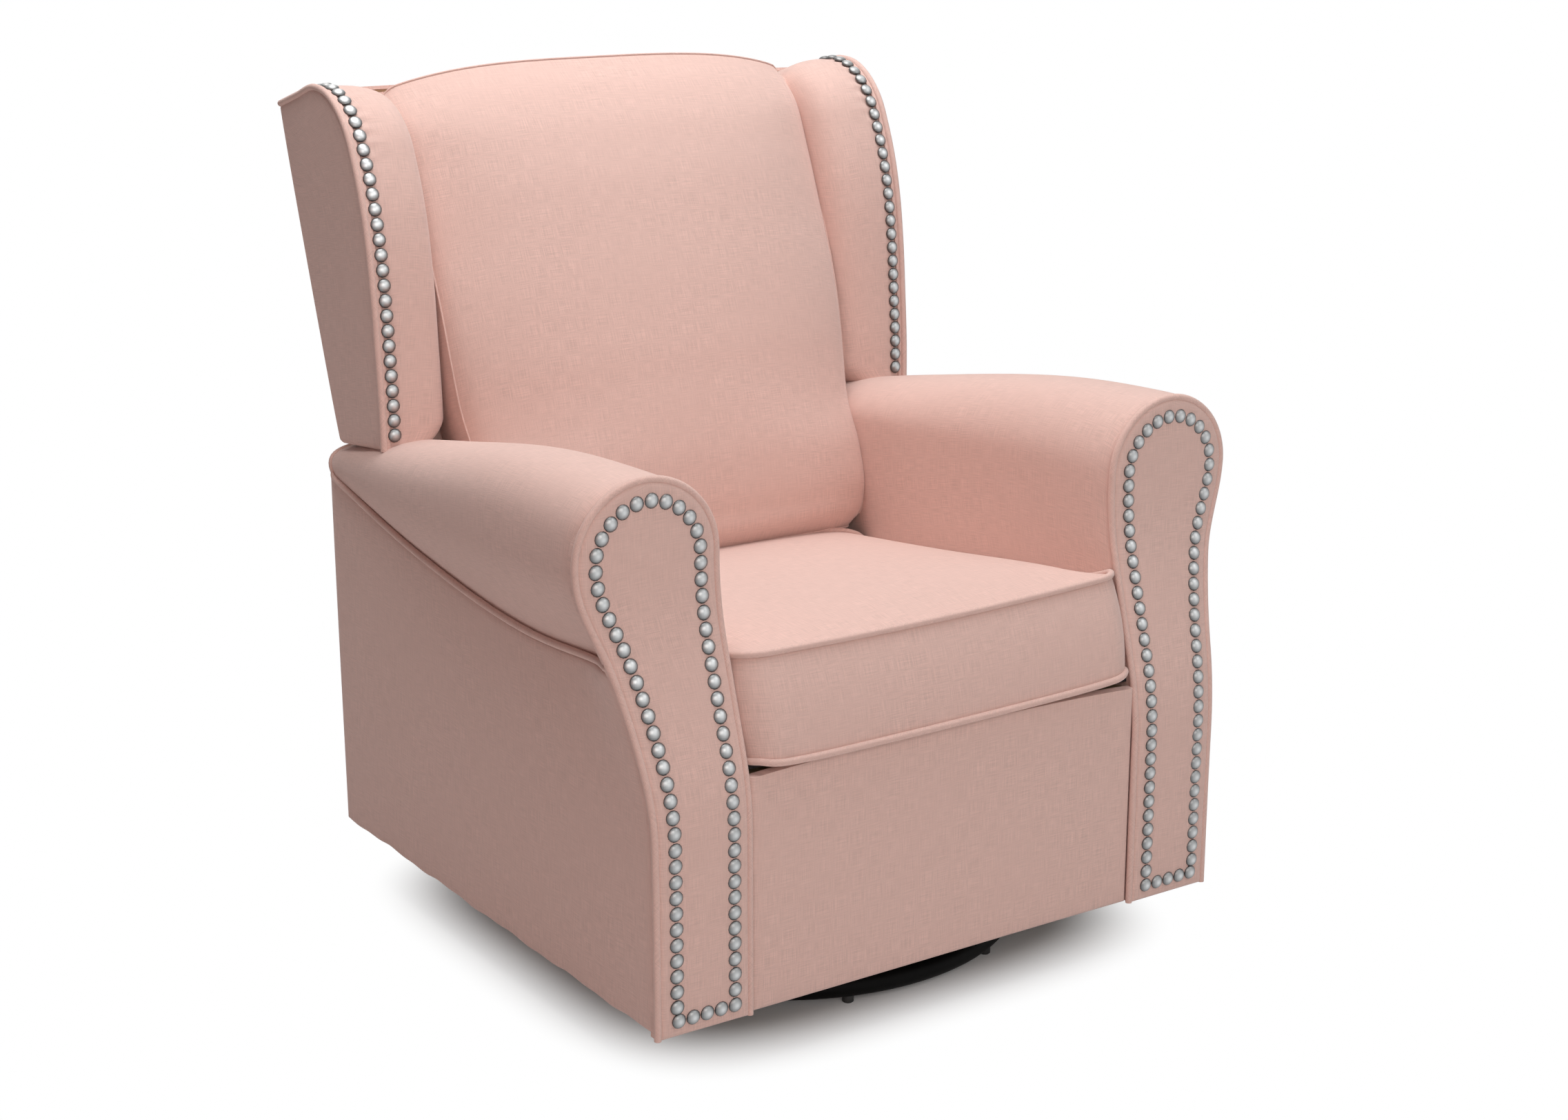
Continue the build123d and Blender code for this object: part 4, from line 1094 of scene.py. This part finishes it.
def seat_cushion():
    """Boxed seat cushion, swelled between its welts."""
    feel = bpy.context.scene.chair_cushions
    half, mid = ARM_INNER - 3.0, SEAT_LENGTH / 2
    a, b = np.meshgrid(np.linspace(-half, half, 76), np.linspace(-mid, mid, 72))
    x, y = round_corners(a, b, half, mid, np.where(b < 0, 32.0, 12.0))
    share_x, share_y = a / half, b / mid
    front = blend_in(-share_y, 0.5, 1.0)
    fall = 1 - np.abs(np.minimum(share_y, 0)) ** 5
    tilt = (3.0 * share_x - 3.0) * (1 - share_y) / 2
    sag = -5.0 * (1 - share_x ** 2) * front - 9.0 * np.abs(share_x) ** 10 * blend_in(share_y, -0.97, -0.72)
    crown = (9.0 * (1 - np.abs(share_x) ** 12) + 8.0 * (1 - np.abs(share_x) ** 2.5)) * fall
    draw = 1 - 0.012 * (1 - share_y ** 2)
    top = seat_place(x * draw, y + mid + 11.0 * front, SEAT_THICK + sag + crown + tilt)
    dip = -2.0 * (1 - share_x ** 2) * front + 5.0 * np.abs(share_x) ** 8 * front
    base = seat_place(x * 0.992, y + mid - 6.0 * front, 2.0 + dip + tilt)
    piece, top_loop, low_loop, under = boxed_cushion("seat_cushion_cover", top, base, 16, 5.0 * MM)
    inflate(piece, np.concatenate([top_loop, under]), feel.seat_limit)
    points = points_of(piece.data)
    reach = (ARM_INNER - 0.6) * MM
    points[:, 0] = np.clip(points[:, 0], -reach, reach)
    set_points(piece.data, points)
    upper, lower = points[top_loop], points[low_loop]
    subdivide(piece)
    dress(piece, ["seat_cushion"])
    keep = bpy.context.scene.chair_trim.welt_radius
    lift = np.array([0, 0, keep * 0.35])
    welt("seat_top_welt", clear_arms(upper + lift), closed=True)
    welt("seat_bottom_welt", clear_arms(lower + [0, -keep * 0.2, 0.0005]), closed=True)


def clear_arms(path):
    """A cushion's welt, kept off the arms."""
    reach = (ARM_INNER - 0.5) * MM - bpy.context.scene.chair_trim.welt_radius
    path = path.copy()
    path[:, 0] = np.clip(path[:, 0], -reach, reach)
    return path


def back_cushion():
    """Tall pillow with a seamed boxing and a rolled top, swelled between its seams."""
    feel = bpy.context.scene.chair_cushions
    low_up, high_up = PILLOW_UPS[0], PILLOW_UPS[-1]
    mid = (high_up - low_up) / 2
    a, b = np.meshgrid(np.linspace(-1, 1, 76), np.linspace(-1, 1, 90))
    level = (b + 1) * mid + low_up
    half = ease(PILLOW_UPS, PILLOW_HALVES, level)
    x, y = round_corners(a * half, b * mid, half, mid, np.where(b < 0, 18.0, 16.0))
    up = y + mid + low_up
    edge = ease(PILLOW_UPS, PILLOW_EDGES, level)
    crown = ease(PILLOW_UPS, PILLOW_CROWNS, level)
    arch = 22.0 * np.abs(a) ** 3.2 * blend_in(b, 0.72, 1.0)
    front = back_place(x, up - arch, edge + crown * (1 - np.abs(a) ** 3.6) ** 0.62)
    rear = back_place(x * 0.985, np.minimum(up, high_up - 12) - arch, np.full(x.shape, 49.5))
    piece, seam, _, under = boxed_cushion("back_cushion_cover", front, rear, 18, 3.0 * MM)
    inflate(piece, np.concatenate([seam, under]), feel.back_limit)
    line = points_of(piece.data)[seam]
    subdivide(piece)
    dress(piece, ["back_cushion"])
    welt("back_cushion_seam", line, bpy.context.scene.chair_trim.seam_radius, True, 8)


def hidden_cloth():
    """Deck cloth under the seat cushion and webbing inside the back."""
    half, deck_start, deck_length = high("seat_deck", 0), 17.0, 505.0
    across, along = np.meshgrid(edge_steps(2 * half, 16.0) - half, edge_steps(deck_length, 16.0) + deck_start)
    top = seat_place(across, along, -0.6 - rolled(half - np.abs(across), 6, 3))
    under = seat_place(across, along, np.full(across.shape, -8.0))
    dress(slab("seat_deck_cloth", top, under, black_lining()), ["seat_deck"])
    half, count, tall = high("back_webs", 0), 5, 50 / math.cos(BACK_RAKE)
    low_z = WING_LOW - 120
    step = (BACK_TOP - 20 - low_z) / count
    for k in range(count):
        rise = up_back(low_z + step * k) + np.linspace(0, tall, 12)
        across, up = np.meshgrid(edge_steps(2 * half, 12.0) - half, rise)
        bow = 0.5 * np.cos(across / half * math.pi / 2)
        face, inside = back_place(across, up, 47.6 + bow), back_place(across, up, 46.4 + bow)
        web = dress(slab(f"back_web_{k}", face, inside, black_lining()), ["back_webs"])
    half, foot, top = WING_INNER + 4, -60.0, up_back(BACK_TOP - 6)
    across, up = np.meshgrid(np.linspace(-half, half, 60), np.linspace(foot, top, 60))
    face, inside = [back_place(across, up, np.full(up.shape, forward)) for forward in (49.2, 48.4)]
    cloth = dress(slab("inside_back_cloth", face, inside, linen()))


# Nails, frame and stage

def nail_rows():
    """Nail heads round the arm fronts and along the wings."""
    head = nail_head()
    nails = arm_nails()
    slope = (face_depth(nails[:, 1] + 1) - face_depth(nails[:, 1] - 1)) / 2
    seats = place(nails[:, 0], face_depth(nails[:, 1]) - 1.3, nails[:, 1])
    facing = np.stack([np.zeros(len(nails)), -np.ones(len(nails)), slope], -1)
    edge, outward = wing_nails()
    wing_seats = place(WING_NAIL_LINE, edge[:, 0], edge[:, 1])
    wing_facing = np.stack([np.full(len(edge), 0.08), outward[:, 0], outward[:, 1]], -1)
    values = {"Head": head, "Metal": nail_metal()}
    for name, sign in SIDES.items():
        for label, points, ways in (("arm", seats, facing), ("wing", wing_seats, wing_facing)):
            piece = nail_tree().run(f"{name}_{label}_nails", on_side(points, sign), [],
                                    {"facing": on_side(ways, sign)}, values)
            dress(piece)
    bpy.data.objects.remove(head)


def frame_finishes():
    """Finishes of the parts that keep their CAD form."""
    looks = {slot: speckled(**look) for slot, look in SPECKLED.items()}
    looks["frame_wood"] = frame_wood()
    for part in frame["record"]["subparts"]:
        if part["material_slot"] in looks:
            mesh = frame["nodes"][part["node"]].data
            mesh.materials.clear()
            mesh.materials.append(looks[part["material_slot"]])


def set_floor():
    """White ground that glows for the camera, its glow fading out round the chair's footprint, where the real cast
    shadow shows; the shadow's outline along the footprint is painted.
    """
    reach = 14.0
    mesh = bpy.data.meshes.new("studio_floor")
    corners = [(-reach, -reach, 0), (reach, -reach, 0), (reach, reach, 0), (-reach, reach, 0)]
    mesh.from_pydata(corners, [], [(0, 1, 2, 3)])
    floor = bpy.data.objects.new("studio_floor", mesh)
    bpy.context.scene.collection.objects.link(floor)
    ground = Finish("studio_white", Roughness=0.9, Specular_IOR_Level=0.0, Base_Color=(0.82, 0.82, 0.82, 1))
    east, north, _ = ground.parts(ground.object_point())
    north = north + 0.05
    spread = (east * east * east * east + north * north * north * north) ** 0.25
    # painted shadow outline: a rounded square round the chair's footprint at rest, inside which the glow drops to near
    # nothing and only the lit floor shows
    shadow_start, shadow_end, shadow_glow = 0.28, 0.407, 0.04
    pale = ground.add("ShaderNodeMapRange", {"interpolation_type": "SMOOTHSTEP"}, {
        0: spread, 1: shadow_start, 2: shadow_end, 3: shadow_glow, 4: 1.0})
    glow = ground.add("ShaderNodeEmission", {}, {"Color": rgba(WHITE), "Strength": 1.0})
    ground.end("Material Output", pale * ground.background_rays(), ground.have("Principled BSDF"), glow)
    mesh.materials.append(ground.material)


def set_world():
    """Faint even light, with white behind the chair."""
    scene = bpy.context.scene
    scene.view_settings.view_transform = "Standard"
    scene.world = bpy.data.worlds.new("studio")
    scene.world.use_nodes = True
    studio = Nodes(scene.world.node_tree)
    sky, white = [studio.add("ShaderNodeBackground", {}, {"Color": rgba(WHITE), "Strength": strength})
                  for strength in (scene.chair_stage.sky, 1.0)]
    studio.tree.nodes.remove(studio.tree.nodes["Background"])
    studio.end("World Output", studio.background_rays(), sky, white)


def look_at(start, target):
    """Turn of a lamp or camera that looks at a target."""
    return (Vector(target) - Vector(start)).to_track_quat("-Z", "Y").to_euler()


# Place, height of what is lit, size and colour of each lamp
WARM_WHITE = (1.0, 0.96, 0.92)
LAMPS = {
    "key": ((1.7, -2.1, 2.4), 0.5, (1.8, 1.8), WHITE),
    "front": ((-0.9, -3.2, 1.9), 0.5, (2.2, 1.6), WARM_WHITE),
    "fill": ((-2.6, -2.2, 1.6), 0.5, (2.2, 2.2), (1.0, 0.48, 0.38)),
    "high": ((-0.1, 0.6, 3.0), 0.4, (1.8, 1.8), WARM_WHITE),
    "rear": ((0.9, 3.0, 1.7), 0.5, (2.0, 1.6), WHITE),
    "top": ((-0.15, -0.25, 3.0), 0.4, (1.8, 1.8), WHITE),
}


def set_lamps():
    """Soft lamps round the chair."""
    scene = bpy.context.scene
    for name, (start, height, size, colour) in LAMPS.items():
        light = bpy.data.lights.new(name + "_lamp", "AREA")
        light.shape = "RECTANGLE"
        light.size, light.size_y = size
        light.color = colour
        light.energy = getattr(scene.chair_stage, name)
        lamp = bpy.data.objects.new(name + "_lamp", light)
        scene.collection.objects.link(lamp)
        lamp.location = start
        lamp.rotation_euler = look_at(start, (0, 0, height))


def set_camera():
    """The photograph's camera."""
    scene = bpy.context.scene
    stage = scene.chair_stage
    lens = bpy.data.cameras.new("camera")
    lens.lens, lens.sensor_width, lens.sensor_fit = stage.lens, 36.0, "HORIZONTAL"
    camera = bpy.data.objects.new("camera", lens)
    scene.collection.objects.link(camera)
    camera.location = stage.camera
    camera.rotation_euler = look_at(stage.camera, stage.target)
    scene.camera = camera


# Settings

def metres(name, about, value):
    return FloatProperty(name=name, description=about, unit="LENGTH", default=value)


def watts(name, about, value):
    return FloatProperty(name=name, description=about, unit="POWER", default=value)


def factor(name, about, value):
    return FloatProperty(name=name, description=about, subtype="FACTOR", min=0, max=1, default=value)


def position(name, about, value):
    return FloatVectorProperty(name=name, description=about, subtype="TRANSLATION", size=3, default=value)


def whole(name, about, low, high, value):
    return IntProperty(name=name, description=about, min=low, max=high, default=value)


class ChairCloth(PropertyGroup):
    """Colour and weave of the chair's cover."""
    colour: FloatVectorProperty(name="Colour", description="Middle tone of the cloth", subtype="COLOR", size=3,
                                min=0, max=1, default=(0.725, 0.512, 0.460))
    contrast: factor("Contrast", "How far single yarns depart from the middle tone", 0.125)
    yarn_width: metres("Yarn width", "Width of a slub", 0.0007)
    slub_length: metres("Slub length", "Length of a slub", 0.022)
    weave_pitch: metres("Weave pitch", "Two yarns' width", 0.0012)
    relief: factor("Relief", "Strength of the weave's relief", 0.35)


class ChairTrim(PropertyGroup):
    """Sizes of welts, seams and nails."""
    welt_radius: metres("Welt radius", "Half the welt cord's thickness", 0.0038)
    seam_radius: metres("Seam radius", "Half the thickness of a raised seam", 0.0012)
    nail_radius: metres("Nail radius", "Half a nail head's width", 0.0080)
    nail_rise: metres("Nail rise", "Height of a nail head's dome", 0.0046)
    nail_pitch: metres("Nail pitch", "Distance from nail to nail", 0.0168)
    nail_inset: metres("Nail inset", "Distance from the arm front's edge to its nails", 0.0205)
    nail_sides: whole("Nail sides", "Corners round a nail head", 6, 32, 14)


class ChairCushions(PropertyGroup):
    """How the cushions swell."""
    pressure: FloatProperty(name="Pressure", description="Air pressure in the cushions", min=0, max=20, default=4.0)
    frames: whole("Frames", "Steps of the swelling", 2, 60, 20)
    smoothing: whole("Smoothing", "How often the swelling is evened out", 0, 60, 24)
    seat_limit: metres("Seat limit", "Furthest that the seat cushion swells", 0.012)
    back_limit: metres("Back limit", "Furthest that the back cushion swells", 0.012)


class ChairStage(PropertyGroup):
    """Camera and lights."""
    camera: position("Camera", "Where the camera stands", (-1.5704, -2.4104, 1.2107))
    target: position("Target", "What the camera looks at", (-0.2155, -0.4115, 0.5357))
    lens: FloatProperty(name="Lens", description="Focal length in millimetres", default=58.82)
    key: watts("Key light", "Power of the lamp at the right", 18.0)
    top: watts("Top light", "Power of the large lamp overhead", 37.0)
    front: watts("Front light", "Power of the lamp in front", 30.0)
    fill: watts("Fill light", "Power of the warm lamp at the left", 13.0)
    high: watts("High light", "Power of the lamp above the back", 32.0)
    rear: watts("Rear light", "Power of the lamp behind", 8.0)
    sky: FloatProperty(name="Sky", description="Strength of the even light from all sides", default=0.02)


# Operators

class Step:
    """Runs a step's makers: those of paired pieces for each side, then the others."""
    paired = ()
    single = ()

    def execute(self, context):
        for make in self.paired:
            for name, sign in SIDES.items():
                make(name, sign)
        for make in self.single:
            make()
        return {"FINISHED"}


class CHAIR_OT_frame_finishes(Step, Operator):
    """Gives the base, the mechanism and the wooden frame their finishes"""
    bl_idname = "chair.frame_finishes"
    bl_label = "Frame Finishes"
    single = (frame_finishes,)


class CHAIR_OT_arms(Step, Operator):
    """Covers both arms: fronts, rolls, outside panels and their welts"""
    bl_idname = "chair.arms"
    bl_label = "Cover Arms"
    paired = (arm_front, arm_roll, outside_arm, arm_welts)


class CHAIR_OT_wings(Step, Operator):
    """Covers both wings and runs their welts"""
    bl_idname = "chair.wings"
    bl_label = "Cover Wings"
    paired = (wing_pad, wing_panel, wing_welt)


class CHAIR_OT_panels(Step, Operator):
    """Covers the apron, the lower rear and the outside back"""
    bl_idname = "chair.panels"
    bl_label = "Cover Panels"
    single = (apron, rear_panel, outside_back)


class CHAIR_OT_hidden_cloth(Step, Operator):
    """Lays the deck cloth and the back's webbing"""
    bl_idname = "chair.hidden_cloth"
    bl_label = "Hidden Cloth"
    single = (hidden_cloth,)


class CHAIR_OT_seat_cushion(Step, Operator):
    """Makes the welted seat cushion"""
    bl_idname = "chair.seat_cushion"
    bl_label = "Seat Cushion"
    single = (seat_cushion,)


class CHAIR_OT_back_cushion(Step, Operator):
    """Makes the seamed back cushion"""
    bl_idname = "chair.back_cushion"
    bl_label = "Back Cushion"
    single = (back_cushion,)


class CHAIR_OT_nails(Step, Operator):
    """Sets the rows of nail heads"""
    bl_idname = "chair.nails"
    bl_label = "Nail Heads"
    single = (nail_rows,)


class CHAIR_OT_stage(Step, Operator):
    """Sets the floor, the lights and the camera"""
    bl_idname = "chair.stage"
    bl_label = "Stage"
    single = (set_floor, set_world, set_lamps, set_camera)


STEPS = (CHAIR_OT_frame_finishes, CHAIR_OT_arms, CHAIR_OT_wings, CHAIR_OT_panels, CHAIR_OT_hidden_cloth,
         CHAIR_OT_seat_cushion, CHAIR_OT_back_cushion, CHAIR_OT_nails, CHAIR_OT_stage)


class CHAIR_PT_sidebar(Panel):
    """Lists the chair's settings and the steps of its dressing"""
    bl_idname = "CHAIR_PT_sidebar"
    bl_label = "Glider Chair"
    bl_space_type = "VIEW_3D"
    bl_region_type = "UI"
    bl_category = "Chair"

    def draw(self, context):
        for name in SETTINGS:
            box = self.layout.box()
            settings = getattr(context.scene, name)
            for key in settings.__annotations__:
                box.prop(settings, key)
        for step in STEPS:
            self.layout.operator(step.bl_idname)


SETTINGS = {"chair_cloth": ChairCloth, "chair_trim": ChairTrim, "chair_cushions": ChairCushions,
            "chair_stage": ChairStage}


def register():
    for kind in (*SETTINGS.values(), *STEPS, CHAIR_PT_sidebar):
        bpy.utils.register_class(kind)
    for name, kind in SETTINGS.items():
        setattr(bpy.types.Scene, name, PointerProperty(type=kind))


def unregister():
    for name in SETTINGS:
        delattr(bpy.types.Scene, name)
    for kind in (CHAIR_PT_sidebar, *reversed(STEPS), *SETTINGS.values()):
        bpy.utils.unregister_class(kind)


def main():
    register()
    for step in STEPS:
        group, name = step.bl_idname.split(".")
        getattr(getattr(bpy.ops, group), name)()


if __name__ == "__main__":
    main()
